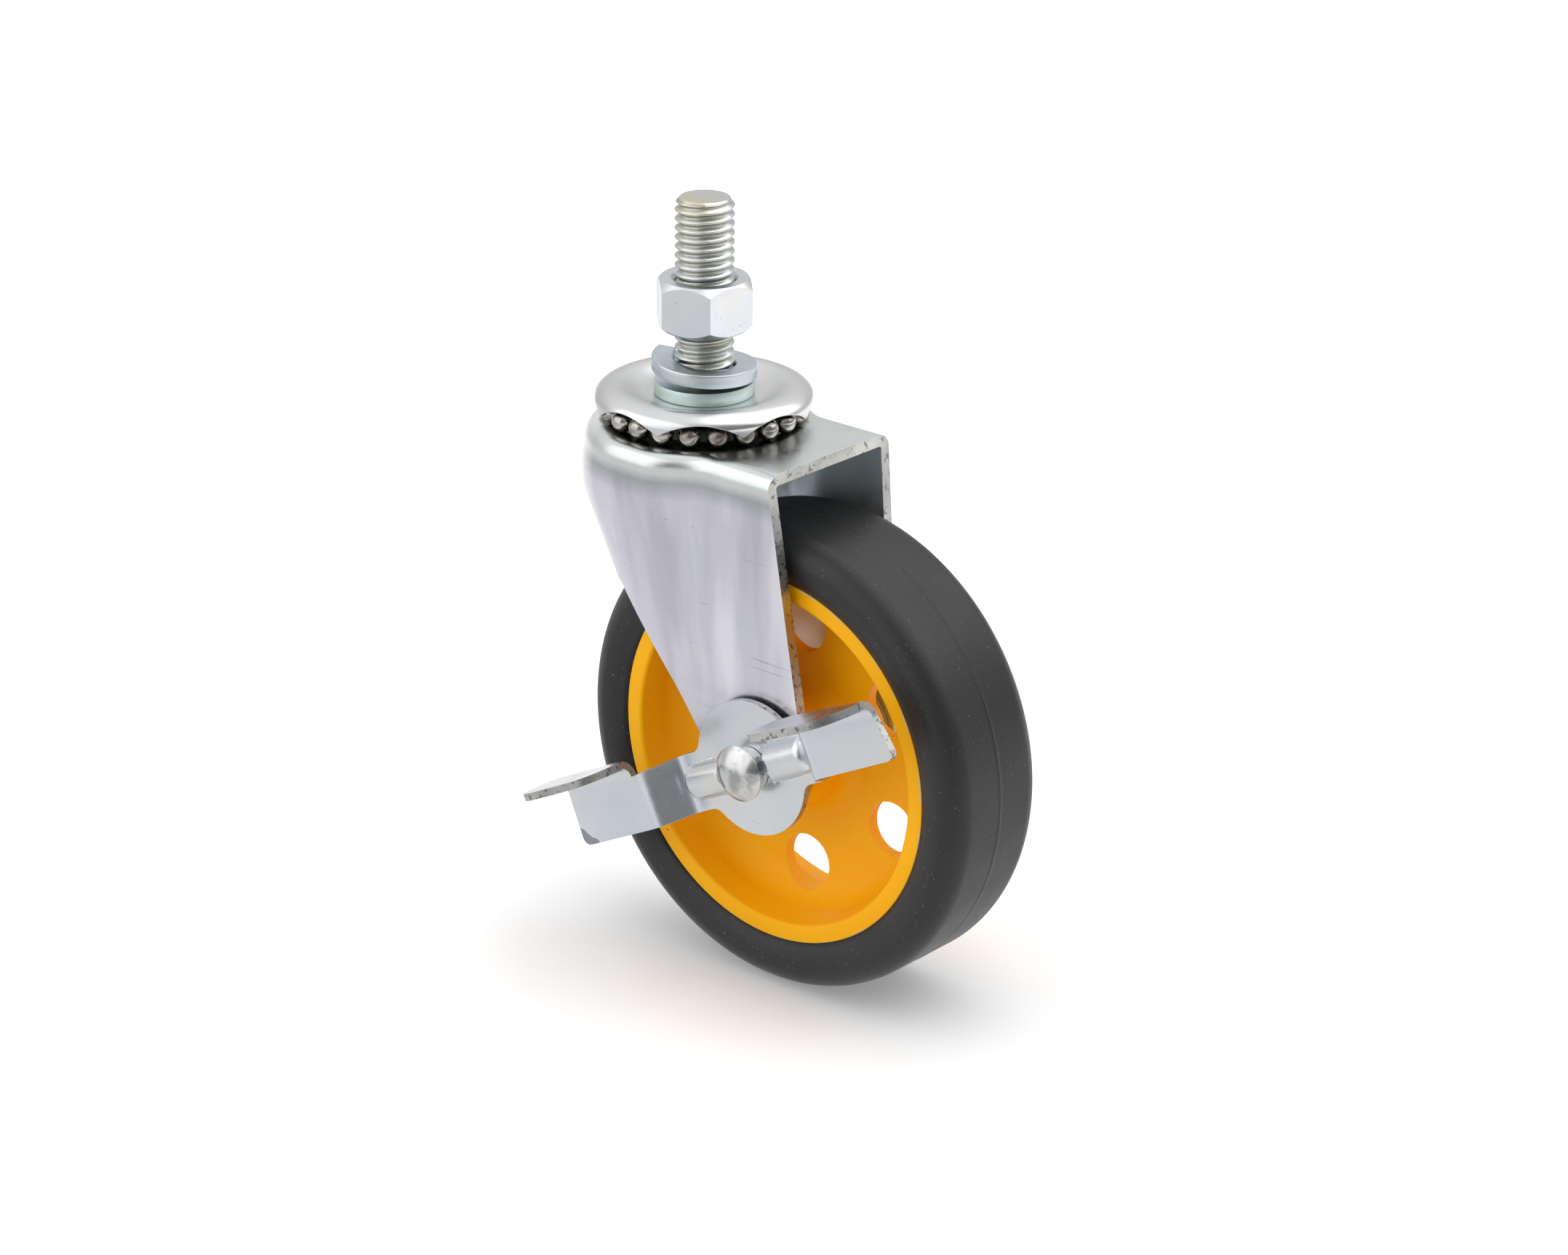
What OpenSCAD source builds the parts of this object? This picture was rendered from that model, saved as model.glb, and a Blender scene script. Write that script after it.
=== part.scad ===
// Braked stem castor. A pressed steel fork turns on two rings of bare balls
// round a riveted kingpin, and carries a moulded wheel with a soft tyre.
// A rocking brake lever sits under the head of the axle bolt.
// The origin is the middle of the stem's shoulder. +Z runs up the stem, +X is
// the way the wheel trails, and the brake lever is on the -Y side.

/* [Stem] */
// Diameter over the thread's crests
stem_d = 12.5; // [12:0.1:13]
// Length of the stem above its shoulder
stem_l = 39; // [34:0.5:60]
// Chamfer at the stem's end
stem_chamfer = 1.2; // [0.6:0.1:1.6]
// Diameter of the collar under the shoulder
collar_d = 21; // [19:0.5:22]
// Height of the collar above the cap
collar_h = 2.9; // [2:0.1:5]
// Width of the nut across its flats
nut_af = 18.8; // [18.4:0.1:20]
// Height of the nut
nut_h = 10.8; // [9:0.1:12]
// Height of the nut's lower face above the shoulder
nut_z = 11.2; // [9:0.1:14]
// Turn of the nut's first corner
nut_turn = 18; // [0:1:60]
// Outer diameter of the spring washer
washer_od = 22; // [20:0.1:23]
// Thickness of the spring washer
washer_t = 3.1; // [2.5:0.1:3.3]
// How far the spring washer's cut end stands up
washer_rise = 3.6; // [2:0.1:4]

/* [Swivel race] */
// Diameter of every ball
ball_d = 4.76; // [4.4:0.02:4.8]
// Number of balls in the upper ring
upper_ball_n = 21; // [12:1:21]
// Diameter of the circle through the upper balls
upper_race_d = 38.4; // [37:0.1:40]
// Number of balls in the lower ring
lower_ball_n = 13; // [8:1:13]
// Diameter of the circle through the lower balls
lower_race_d = 22; // [21.4:0.1:23]
// Diameter of the kingpin through the races
kingpin_d = 12; // [11:0.1:12.4]
// Thickness of the cap's plate under the collar
cap_t = 2.5; // [2:0.1:2.8]
// How far the cap's crown rises over its middle
crown_rise = 2.1; // [1.5:0.1:2.6]
// Thickness of the cap's skirt at its edge
skirt_t = 1.2; // [1:0.1:1.6]
// Number of scallops round the cap's skirt
scallop_n = 7; // [5:1:10]
// Height of each scallop
scallop_h = 1.8; // [1:0.1:2]
// Thickness of the lower race cup
cup_t = 2; // [1.5:0.1:2.6]
// Thickness of the washer under the cup
kingpin_washer_t = 1.8; // [1:0.1:2.4]
// Height of the kingpin's riveted head
rivet_h = 2.2; // [1.6:0.1:3]

/* [Fork] */
// Thickness of the fork's sheet
fork_t = 2.5; // [2:0.1:3]
// Distance of the axle from the stem's axis
trail = 29.8; // [27:0.1:33]
// Gap between the tyre and the fork's crown
crown_gap = 11.5; // [10:0.1:15]
// Gap between the tyre's side and the fork's leg at the crown
side_gap = 2.5; // [2.3:0.1:4]
// Radius outside the bend between crown and legs
bend_r = 3.3; // [3.2:0.1:4]
// How far the drum round the race stands out past the cap
drum_margin = 1.9; // [1:0.1:3]
// How far the crown's front edge is ahead of the axle
nose = 4.4; // [2:0.1:8]
// Radius of each leg's end round the axle
leg_end_r = 11.8; // [10:0.1:13]
// Depth of the rear skirt at its middle
rear_skirt_h = 14.6; // [12:0.1:17]
// Depth at which the skirt has run out into the leg's edge
flange_h = 34.6; // [31:0.1:38]
// Rise of the crown's middle over its ball track
boss_rise = 2; // [1.6:0.1:2.2]

/* [Wheel] */
// Diameter over the tread
wheel_d = 101.6; // [96:0.1:108]
// Width over the tyre's sides
tyre_w = 28; // [27:0.1:30]
// Radius of the tyre's shoulders
shoulder_r = 5.9; // [3:0.1:7]
// Thickness of the tyre over the rim
tyre_t = 10.4; // [8:0.1:12]
// How far the lip is inside the tyre's side
lip_inset = 1.5; // [1.4:0.1:2.5]
// Width of the lip
lip_w = 3.2; // [2.5:0.1:4]
// Thickness of the wheel's web
web_t = 2.6; // [2:0.1:4]
// Number of holes in the web
hole_n = 6; // [3:1:8]
// Diameter of each hole in the web
hole_d = 12; // [8:0.1:13]
// Diameter of the circle through the holes
hole_circle_d = 53.4; // [51:0.1:55]
// Turn of the first hole from the +X direction
hole_turn = 32; // [0:1:60]
// Diameter of the hub
hub_d = 23; // [21:0.1:25]
// How far the bush's flange is inside the tyre's side
hub_inset = 1.5; // [1.4:0.1:2.4]

/* [Axle and brake] */
// Diameter of the axle bolt
axle_d = 8; // [7:0.1:9]
// Diameter of the sleeve that the wheel turns on
sleeve_d = 12; // [11.6:0.1:13]
// Thickness of each thrust washer
thrust_t = 0.8; // [0.5:0.1:1.2]
// Diameter of the bolt's domed head
head_d = 12.1; // [11.6:0.1:15]
// Height of the bolt's domed head
head_h = 3.4; // [2.5:0.1:4.5]
// Thickness of the washer under the locknut
axle_washer_t = 1.5; // [1:0.1:2]
// Width of the locknut across its flats
axle_nut_af = 13; // [12.5:0.1:14]
// Height of the locknut
axle_nut_h = 7.6; // [6:0.1:9]
// Thickness of the lever's sheet
lever_t = 1.6; // [1.4:0.1:2]
// Gap between the lever and the fork's leg
lever_gap = 1.1; // [1:0.1:2]
// Tilt of the lever, front end up
lever_tilt = 27; // [0:1:30]
// Diameter of the lever's middle disc
lever_disc_d = 29.2; // [28:0.1:32]
// Width of the lever's arms
lever_w = 12.6; // [12:0.1:14]
// Length of the lever from end to end
lever_l = 94; // [90:0.5:104]
// Distance from the axle to each arm's first bend
lever_bend_s = 18.6; // [18:0.1:21]
// How far the pedals stand out from the arms
pedal_offset = 8; // [6:0.1:10]
// Depth of each foot pad
pad_l = 14.5; // [12:0.5:20]
// Height of each foot pad's top over the arm's middle line
pad_h = 9; // [8:0.1:11]
// Half width of the rib along the arms
rib_w = 4; // [3.4:0.1:4.3]
// Height of the rib along the arms
rib_h = 3.2; // [2.4:0.1:3.4]

/* [Hidden] */

// Clearances
thread_gap = 0.05;
seat_gap = 0.3;
shaft_gap = 0.05;
press_gap = 0.01;
race_gap = 0.3;
face_gap = 0.15;
past = 1;

// Heights down the swivel, from the shoulder
ball_r = ball_d / 2;
race_r = ball_r + race_gap;
crown_top = crown_rise - collar_h;
crown_t = 2.7;
upper_ball_z = crown_top - crown_t - race_r;
upper_track = 0.26;
plate_top = upper_ball_z - race_r + upper_track;
plate_under = plate_top - fork_t;
boss_top = plate_top + boss_rise;
boss_under = boss_top - fork_t;
lower_track = 0.4;
lower_ball_z = boss_under + lower_track - race_r;
cup_top = lower_ball_z - race_r + lower_track;
cup_under = cup_top - cup_t;
kingpin_washer_z = cup_under - kingpin_washer_t;
rivet_z = kingpin_washer_z - rivet_h;

// Free end of the stem, above the nut
free_z = nut_z + nut_h + seat_gap;
groove_h = 1;
thread_depth = 0.8;

// Radii of the race
upper_r = upper_race_d / 2;
lower_r = lower_race_d / 2;
kingpin_r = kingpin_d / 2;
cap_r = upper_r + race_r + skirt_t;
skirt_z = upper_ball_z + 0.5;
cup_wall = 1.8;
cup_r = lower_r + race_r + cup_wall;
boss_r = lower_r + 3;
boss_slope = 2.4;

// Wheel and axle
wheel_r = wheel_d / 2;
lip_r = wheel_r - tyre_t;
axle_r = axle_d / 2;
axle_z = plate_under - crown_gap - wheel_r;
hub_half = tyre_w / 2 - hub_inset;
leg_in = hub_half + face_gap + thrust_t + shaft_gap;
leg_out = leg_in + fork_t;
crown_half = tyre_w / 2 + side_gap + fork_t;
sleeve_r = sleeve_d / 2;
bush_flange_t = 0.9;
bush_wall = 2;
bush_l = 10;
thrust_rim = 4.5;
washer_rim = 4.4;

// Plastic ring in the locknut
insert_r = axle_r + 1.2;
insert_w = 1.8;

// Fork
drum_r = cap_r + drum_margin;
leg_l = plate_top - axle_z;
fork_front = trail + nose;

// Lever
lever_back = leg_out + lever_gap;
lever_front = lever_back + lever_t;
lever_bend_r = 1.5;
riser_angle = 62;
arm_fillet = 3;
neck_r = axle_r + 0.8;
land_r = head_d / 2 + 0.35;
rib_round = 2.4;

function arc(cx, cy, r, from, to, n) =
    [for (i = [0 : n]) let (a = from + (to - from) * i / n) [cx + r * cos(a), cy + r * sin(a)]];
function clamp01(v) = min(1, max(0, v));
function ease(v) = (1 - cos(180 * clamp01(v))) / 2;

// A cylinder along Y between two distances out on the lever's side
module across(r, from, to) {
    translate([0, -from, 0]) rotate([90, 0, 0]) cylinder(h = to - from, r = r, $fn = 96);
}

module at_axle() {
    translate([trail, 0, axle_z]) children();
}

// Threaded stem, collar and kingpin turned from one bar. The thread itself is
// too fine for the solid, so the stem is plain at the crests' diameter. One
// groove at the nut's top marks where the free end starts.
module stem() {
    shank_l = collar_h - kingpin_washer_z;
    color("silver") {
        cylinder(h = free_z - groove_h, d = stem_d, $fn = 96);
        cylinder(h = free_z, d = stem_d - 2 * thread_depth, $fn = 96);
        translate([0, 0, free_z]) cylinder(h = stem_l - stem_chamfer - free_z, d = stem_d, $fn = 96);
        translate([0, 0, stem_l - stem_chamfer])
            cylinder(h = stem_chamfer, d1 = stem_d, d2 = stem_d - 2 * stem_chamfer, $fn = 96);
        translate([0, 0, -collar_h]) cylinder(h = collar_h, d = collar_d, $fn = 96);
        translate([0, 0, kingpin_washer_z]) cylinder(h = -kingpin_washer_z, r = kingpin_r, $fn = 96);
        rotate_extrude($fn = 96) rivet_profile();
    }
}

// Half section of the riveted head, a low dome under the washer
module rivet_profile() {
    rivet_r = kingpin_r + 2.4;
    dome_r = (rivet_r * rivet_r + rivet_h * rivet_h) / (2 * rivet_h);
    dome_z = rivet_z + dome_r;
    span = asin(rivet_r / dome_r);
    polygon(concat([[0, kingpin_washer_z]], arc(0, dome_z, dome_r, -90 + span, -90, 12)));
}

// Spring washer: a square-section ring cut once and sprung open
module lock_washer() {
    inner = stem_d / 2 + 0.35;
    outer = washer_od / 2;
    steps = 44;
    start = -149;
    turn = 351;
    lift = function (u) washer_rise * pow(1 - u, 2.6);
    rings = [for (i = [0 : steps]) let (u = i / steps, a = start + turn * u, z = lift(u) + 0.02)
        [for (p = [[inner, z], [outer, z], [outer, z + washer_t], [inner, z + washer_t]])
            [p[0] * cos(a), p[0] * sin(a), p[1]]]];
    color("lightsteelblue") loft(rings);
}

// Skin through a list of closed rings with equal numbers of points
module loft(rings) {
    n = len(rings[0]);
    m = len(rings);
    points = [for (ring = rings) for (p = ring) p];
    sides = [for (j = [0 : m - 2]) for (i = [0 : n - 1]) let (k = (i + 1) % n)
        each [[j * n + i, j * n + k, (j + 1) * n + i], [j * n + k, (j + 1) * n + k, (j + 1) * n + i]]];
    first = [for (i = [n - 1 : -1 : 0]) i];
    last = [for (i = [0 : n - 1]) (m - 1) * n + i];
    polyhedron(points = points, faces = concat([first], sides, [last]));
}

module hex_nut() {
    corner_r = nut_af / sqrt(3);
    flat_r = nut_af / 2 - 0.2;
    wide_r = corner_r + 0.1;
    cone_h = (wide_r - flat_r) * tan(30);
    color("silver") translate([0, 0, nut_z]) rotate([0, 0, nut_turn]) difference() {
        intersection() {
            cylinder(h = nut_h, r = corner_r, $fn = 6);
            rotate_extrude($fn = 96) polygon([[0, 0], [flat_r, 0], [wide_r, cone_h],
                [wide_r, nut_h - cone_h], [flat_r, nut_h], [0, nut_h]]);
        }
        translate([0, 0, -past]) cylinder(h = nut_h + 2 * past, r = stem_d / 2 + thread_gap, $fn = 96);
    }
}

// Pressed cap over the upper balls: a flat middle under the collar, a round
// crown, and a skirt whose edge is scalloped
module upper_race_cap() {
    pitch = 360 / scallop_n;
    half_chord = cap_r * sin(pitch / 2);
    arch_r = (half_chord * half_chord + scallop_h * scallop_h) / (2 * scallop_h);
    color("silver") difference() {
        rotate_extrude($fn = 144) cap_profile();
        for (i = [0 : scallop_n - 1]) rotate([0, 0, 180 + pitch * (i + 0.5)])
            translate([boss_r + boss_slope, 0, skirt_z + scallop_h - arch_r]) rotate([0, 90, 0])
                cylinder(h = cap_r, r = arch_r, $fn = 180);
    }
}

module cap_profile() {
    dish_r = collar_d / 2 + 1.6;
    top_r = upper_r - 0.6;
    swell = [for (i = [0 : 8]) let (u = i / 8)
        [dish_r + (top_r - dish_r) * u, -collar_h + crown_rise * ease(u)]];
    edge_r = cap_r - top_r;
    edge_h = 3.2;
    rim = [for (i = [1 : 10]) let (a = 9 * i) [top_r + edge_r * sin(a), crown_top - edge_h * (1 - cos(a))]];
    track = arc(upper_r, upper_ball_z, race_r, asin((skirt_z - upper_ball_z) / race_r), 128, 12);
    polygon(concat([[kingpin_r + press_gap, -collar_h - cap_t], [kingpin_r + press_gap, -collar_h]],
        swell, rim, [[cap_r, skirt_z]], track, [[dish_r + 0.6, -collar_h - cap_t]]));
}

module ball_ring(n, r, z, first) {
    for (i = [0 : n - 1]) rotate([0, 0, first + 360 * i / n])
        translate([r, 0, z]) sphere(d = ball_d, $fn = 48);
}

module upper_balls() {
    color("dimgray") ball_ring(upper_ball_n, upper_r, upper_ball_z, -108.7);
}

module lower_balls() {
    color("dimgray") ball_ring(lower_ball_n, lower_r, lower_ball_z, 0);
}

// Track that leaves a ball ring its running gap on every side
module track(r, z) {
    translate([0, 0, z]) rotate_extrude($fn = 96) translate([r, 0]) circle(r = race_r, $fn = 48);
}

// Shallow track pressed into the fork, facing 270 for down and 90 for up
module shallow_track(r, z, facing) {
    translate([0, 0, z]) rotate_extrude($fn = 96) translate([r, 0])
        polygon(arc(0, 0, race_r, facing - 40, facing + 40, 8));
}

// Turned-up cup under the lower balls
module lower_race_cup() {
    wall_r = lower_r + race_r;
    color("silver") difference() {
        rotate_extrude($fn = 96) polygon([[kingpin_r + press_gap, cup_under], [cup_r - 1, cup_under],
            [cup_r, cup_under + 1], [cup_r, lower_ball_z], [wall_r, lower_ball_z],
            [wall_r, cup_top], [kingpin_r + press_gap, cup_top]]);
        track(lower_r, lower_ball_z);
    }
}

module kingpin_washer() {
    color("silver") translate([0, 0, kingpin_washer_z]) difference() {
        cylinder(h = kingpin_washer_t, r = kingpin_r + washer_rim, $fn = 72);
        translate([0, 0, -past]) cylinder(h = kingpin_washer_t + 2 * past, r = kingpin_r + press_gap, $fn = 72);
    }
}

// Plan of the fork's outside at a depth below the crown, drawn in by inset.
// Behind the drum's middle it is a rounded oval. Ahead of it the drum's swell
// eases back to the straight leg.
function fork_half(depth) = leg_out + (crown_half - leg_out)
    * clamp01(1 - (depth - bend_r) / (leg_l - leg_end_r - bend_r));
function fork_swell(depth) = (drum_r - crown_half)
    * pow(clamp01(1 - (depth - 9.6) / (leg_l - 16.8)), 1.5);
function fork_mid(depth) = 0.17 * max(0, depth - 8);
function fork_rear(depth) = -drum_r + 0.4 * max(0, depth - 12.5);
function fork_plan(depth, inset, front) =
    let (half = fork_half(depth) - inset,
        swell = fork_swell(depth),
        mid = fork_mid(depth),
        long = mid - fork_rear(depth) - inset,
        power = 2 / (2 + 0.5 * clamp01((depth - 4) / 12)),
        rear = [for (i = [1 : 14]) let (a = 90 * i / 14)
            [mid - long * pow(cos(a), power), -(half + swell) * pow(sin(a), power)]],
        flank = [for (i = [1 : 10]) [mid + 2 * i, -half - swell * (1 - ease((2 * i - 4) / 14))]],
        near = concat(rear, flank, [[front, -half]]),
        count = len(near))
    concat([[mid - long, 0]], near, [for (i = [count - 1 : -1 : 0]) [near[i][0], -near[i][1]]]);

// Solid through the fork's plans, with its top edge rounded to radius r
module fork_body(inset, r, top, bottom, front) {
    bend = [for (i = [0 : 5]) let (a = 90 - 18 * i) [top + r * (1 - sin(a)), inset + r * (1 - cos(a))]];
    lower = [for (i = [1 : 13]) [top + r + (bottom - top - r) * i / 13, inset]];
    levels = concat(bend, lower);
    loft([for (level = levels) [for (p = fork_plan(level[0], level[1], front))
        [p[0], p[1], plate_top - level[0]]]]);
}

// Where a line from a point touches the leg's end circle, on the side given
function leg_touch(p, side) =
    let (dx = p[0] - trail, dz = p[1] - axle_z, away = atan2(dz, dx),
        open = acos(leg_end_r / sqrt(dx * dx + dz * dz)))
    away + side * open;

// Side outline of the fork, cut through both legs
module fork_side() {
    brow = [fork_front, plate_top - bend_r];
    foot = [-7.5, plate_top - flange_h];
    a_front = leg_touch(brow, -1);
    a_rear = leg_touch(foot, 1);
    behind = -drum_r - past;
    above = plate_top + boss_rise + past;
    polygon(concat([[fork_front, above], brow], arc(trail, axle_z, leg_end_r, a_front, a_rear - 360, 40),
        [foot, [foot[0] - 6.5, foot[1] + 3], [behind, plate_top - 22], [behind, above]]));
}

// Opening in the rear skirt for the wheel, seen from behind
module wheel_arch() {
    half = tyre_w / 2 + 1;
    run = flange_h - rear_skirt_h + 1.4;
    right = [for (i = [0 : 12]) [half * i / 12, plate_top - rear_skirt_h - run * pow(i / 12, 2.86)]];
    floor_z = axle_z;
    translate([-drum_r - past, 0, 0]) rotate([90, 0, 90]) linear_extrude(height = drum_r - past)
        polygon(concat([for (i = [12 : -1 : 1]) [-right[i][0], right[i][1]]], right,
            [[half, floor_z], [-half, floor_z]]));
}

// One pressing: crown with a ball track and a raised middle, two legs, and a
// rear skirt that runs out along the legs' edges
module fork() {
    boss_out_r = boss_r + boss_slope;
    color("silver") difference() {
        union() {
            intersection() {
                difference() {
                    fork_body(0, bend_r, 0, leg_l + leg_end_r + past, fork_front + 16);
                    fork_body(fork_t, bend_r - fork_t, fork_t, leg_l + leg_end_r + 3 * past, fork_front + 18);
                }
                rotate([90, 0, 0]) linear_extrude(height = 4 * drum_r, center = true) fork_side();
            }
            translate([0, 0, plate_top - 0.5]) cylinder(h = boss_rise + 0.5, r1 = boss_out_r, r2 = boss_r, $fn = 96);
        }
        translate([0, 0, plate_under - 0.01])
            cylinder(h = boss_rise + 0.01, r1 = boss_out_r - 1, r2 = boss_r - 1, $fn = 96);
        translate([0, 0, plate_under - past]) cylinder(h = boss_rise + fork_t + 2 * past, r = kingpin_r + 0.4, $fn = 96);
        shallow_track(upper_r, upper_ball_z, 270);
        shallow_track(lower_r, lower_ball_z, 90);
        wheel_arch();
        at_axle() across(axle_r + shaft_gap, -2 * leg_out, 2 * leg_out);
    }
}

module ring_across(inner, outer, from, to) {
    difference() {
        across(outer, from, to);
        across(inner, from - past, to + past);
    }
}

// Steel washers between the hub and the legs, round the sleeve
module thrust_washer_near() {
    from = hub_half + face_gap;
    color("silver") at_axle() ring_across(sleeve_r + shaft_gap, sleeve_r + thrust_rim, from, from + thrust_t);
}

module thrust_washer_far() {
    mirror([0, 1, 0]) thrust_washer_near();
}

// Steel tube round the bolt, between the legs
module axle_sleeve() {
    half = leg_in - shaft_gap;
    color("silver") at_axle() ring_across(axle_r + shaft_gap, sleeve_r, -half, half);
}

// Flanged bush pressed into each end of the hub
module hub_bush_near() {
    bore = sleeve_r + shaft_gap;
    color("whitesmoke") at_axle() {
        ring_across(bore, bore + bush_wall, hub_half - bush_l, hub_half);
        ring_across(bore, bore + bush_wall + 1.6, hub_half - bush_flange_t, hub_half);
    }
}

module hub_bush_far() {
    mirror([0, 1, 0]) hub_bush_near();
}

// Moulded core: hub, thin web with round holes, and a deep rim that ends in a
// lip on each side
module wheel_core() {
    color("orange") at_axle() difference() {
        rotate([90, 0, 0]) rotate_extrude($fn = 180) polygon(concat(core_half(), core_other()));
        for (i = [0 : hole_n - 1]) rotate([0, -hole_turn - 360 * i / hole_n, 0])
            translate([hole_circle_d / 2, 0, 0]) across(hole_d / 2, -web_t, web_t);
    }
}

function core_half() =
    let (bore = sleeve_r + shaft_gap + bush_wall + press_gap,
        hub_end = hub_half - bush_flange_t - press_gap,
        lip_y = tyre_w / 2 - lip_inset,
        lip_in = lip_r - lip_w,
        web_y = web_t / 2,
        wall_r = lip_in - 1.2,
        sweep = 6.5,
        flare = 4)
    concat([[bore, 0], [bore, hub_end], [hub_d / 2 - 0.6, hub_end], [hub_d / 2, hub_end - 0.6]],
        arc(hub_d / 2 + 0.6 + flare, web_y + flare, flare, 180, 270, 8),
        arc(wall_r - sweep, web_y + sweep, sweep, 270, 360, 10),
        [[lip_in, lip_y - 0.3], [lip_in + 0.3, lip_y], [lip_r - 0.4, lip_y], [lip_r, lip_y - 0.4], [lip_r, 0]]);
function core_other() = let (half = core_half()) [for (i = [len(half) - 2 : -1 : 1]) [half[i][0], -half[i][1]]];

// Soft tyre moulded round the core
module tyre() {
    half = tyre_w / 2;
    bond_r = lip_r + press_gap;
    foot_y = half - lip_inset;
    side = concat([[bond_r, foot_y], [lip_r + 2.2, half - 0.4]],
        arc(wheel_r - shoulder_r, half - shoulder_r, shoulder_r, 86, 0, 12));
    other = [for (i = [len(side) - 1 : -1 : 0]) [side[i][0], -side[i][1]]];
    color("dimgray") at_axle() rotate([90, 0, 0]) rotate_extrude($fn = 180) polygon(concat(side, other));
}

// Axle bolt with a domed head on a neck that keeps the lever in place
module axle_bolt() {
    seat = lever_front + rib_h;
    far_end = leg_out + face_gap + axle_washer_t + axle_nut_h + 1.6;
    color("gainsboro") at_axle() {
        across(axle_r, -far_end, seat);
        across(neck_r, lever_front + face_gap, seat);
        translate([0, -seat, 0]) rotate([90, 0, 0]) rotate_extrude($fn = 96) dome_profile();
    }
}

module dome_profile() {
    edge = 0.7;
    rise = head_h - edge;
    r = head_d / 2;
    dome_r = (r * r + rise * rise) / (2 * rise);
    span = asin(r / dome_r);
    polygon(concat([[0, 0], [r - 0.3, 0], [r, 0.3]], arc(0, head_h - dome_r, dome_r, 90 - span, 90, 14)));
}

// Half of the lever's section, from the first bend to the pedal's end. The
// first number of a point runs along the arm and the second outwards.
function riser_straight() = (pedal_offset - (2 * lever_bend_r + lever_t) * (1 - cos(riser_angle))) / sin(riser_angle);
function pedal_start() = lever_bend_s + (2 * lever_bend_r + lever_t) * sin(riser_angle) + riser_straight() * cos(riser_angle);
function lever_face(front) =
    let (r1 = lever_bend_r + (front ? 0 : lever_t),
        r2 = lever_bend_r + (front ? lever_t : 0),
        level = front ? lever_t : 0)
    concat(arc(lever_bend_s, lever_t + lever_bend_r, r1, -90, -90 + riser_angle, 5),
        arc(pedal_start(), pedal_offset - lever_bend_r, r2, 90 + riser_angle, 90, 5),
        [[lever_l / 2, pedal_offset + level]]);

// Bent strip of the lever, both arms. The pedals run up to where the pads bend.
module lever_strip() {
    back = lever_face(false);
    front = lever_face(true);
    section = concat(back, [for (i = [len(front) - 1 : -1 : 0]) front[i]],
        [for (p = front) [-p[0], p[1]]], [for (i = [len(back) - 1 : -1 : 0]) [-back[i][0], back[i][1]]]);
    top = pad_root();
    linear_extrude(height = lever_w, center = true) mirror([0, 1]) polygon(section);
    for (turn = [0, 1]) mirror([turn, 0, 0])
        translate([pedal_start(), -pedal_offset - lever_t, 0])
            cube([lever_l / 2 - pedal_start(), lever_t, top]);
}

// Round middle of the lever with a fillet into each arm
module lever_disc() {
    r = lever_disc_d / 2;
    half = lever_w / 2;
    fillet = arm_fillet;
    reach = sqrt(pow(r + fillet, 2) - pow(half + fillet, 2));
    meet = atan2(half + fillet, reach);
    corner = concat(arc(reach, half + fillet, fillet, 270, 180 + meet, 6), arc(0, 0, r, meet, 90, 12));
    last = len(corner) - 1;
    rotate([90, 0, 0]) linear_extrude(height = lever_t)
        polygon(concat(corner, [for (i = [last - 1 : -1 : 0]) [-corner[i][0], corner[i][1]]],
            [for (i = [0 : last]) [-corner[i][0], -corner[i][1]]],
            [for (i = [last - 1 : -1 : 0]) [corner[i][0], -corner[i][1]]]));
}

// Foot pad: the pedal's upper edge turned outwards into a rounded plate
function pad_root() = pad_h - lever_bend_r - lever_t;
module foot_pad() {
    start = pedal_start();
    end = lever_l / 2;
    mid = (start + end) / 2;
    half = (end - start) / 2;
    r = lever_bend_r;
    root = pad_root();
    front = pedal_offset + lever_t + r;
    turned = concat(arc(front, root, r + lever_t, 180, 90, 8), arc(front, root, r, 90, 180, 8));
    outline = [for (i = [0 : 28]) let (a = 90 - 180 * i / 28)
        [half * sign(sin(a)) * pow(abs(sin(a)), 0.75), -pad_l * pow(cos(a), 0.75)]];
    translate([end, 0, 0]) rotate([90, 0, -90]) linear_extrude(height = 2 * half) polygon(turned);
    translate([mid, -front, root + r]) linear_extrude(height = lever_t)
        polygon(concat([[-half, 0.02], [half, 0.02]], outline));
}

// Half-round rib pressed out along the arms, with a flat land round the axle
module lever_rib() {
    r = (rib_w * rib_w + rib_h * rib_h) / (2 * rib_h);
    end = lever_bend_s - rib_round;
    for (turn = [0, 180]) rotate([0, turn, 0]) difference() {
        translate([0, r - rib_h - lever_t, 0]) rotate([0, 90, 0]) rotate_extrude($fn = 72)
            polygon(concat([[0, land_r], [r, land_r]], [for (i = [0 : 8]) let (a = 90 * i / 8)
                [r * cos(a), end + rib_round * sin(a)]]));
        translate([0, -0.5, -2 * r]) cube([2 * end, 4 * r, 4 * r]);
    }
}

module lever_groove() {
    r = (rib_w * rib_w + rib_h * rib_h) / (2 * rib_h) - lever_t;
    end = lever_bend_s - rib_round;
    for (s = [-1, 1]) translate([s * (end + land_r) / 2, r - rib_h, 0]) rotate([0, 90, 0])
        cylinder(h = end - land_r, r = r, center = true, $fn = 72);
}

// One pressing: a middle disc, a rib along both arms, and a pedal at each end
module brake_lever() {
    color("silver") at_axle() rotate([0, -lever_tilt, 0]) translate([0, -lever_back, 0]) difference() {
        union() {
            lever_strip();
            lever_disc();
            lever_rib();
            foot_pad();
            mirror([1, 0, 0]) foot_pad();
        }
        lever_groove();
        across(axle_r + shaft_gap, -past, lever_t + rib_h + past);
    }
}

module axle_washer() {
    from = leg_out + face_gap;
    color("silver") at_axle() mirror([0, 1, 0])
        ring_across(axle_r + shaft_gap, axle_r + washer_rim, from, from + axle_washer_t);
}

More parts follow.
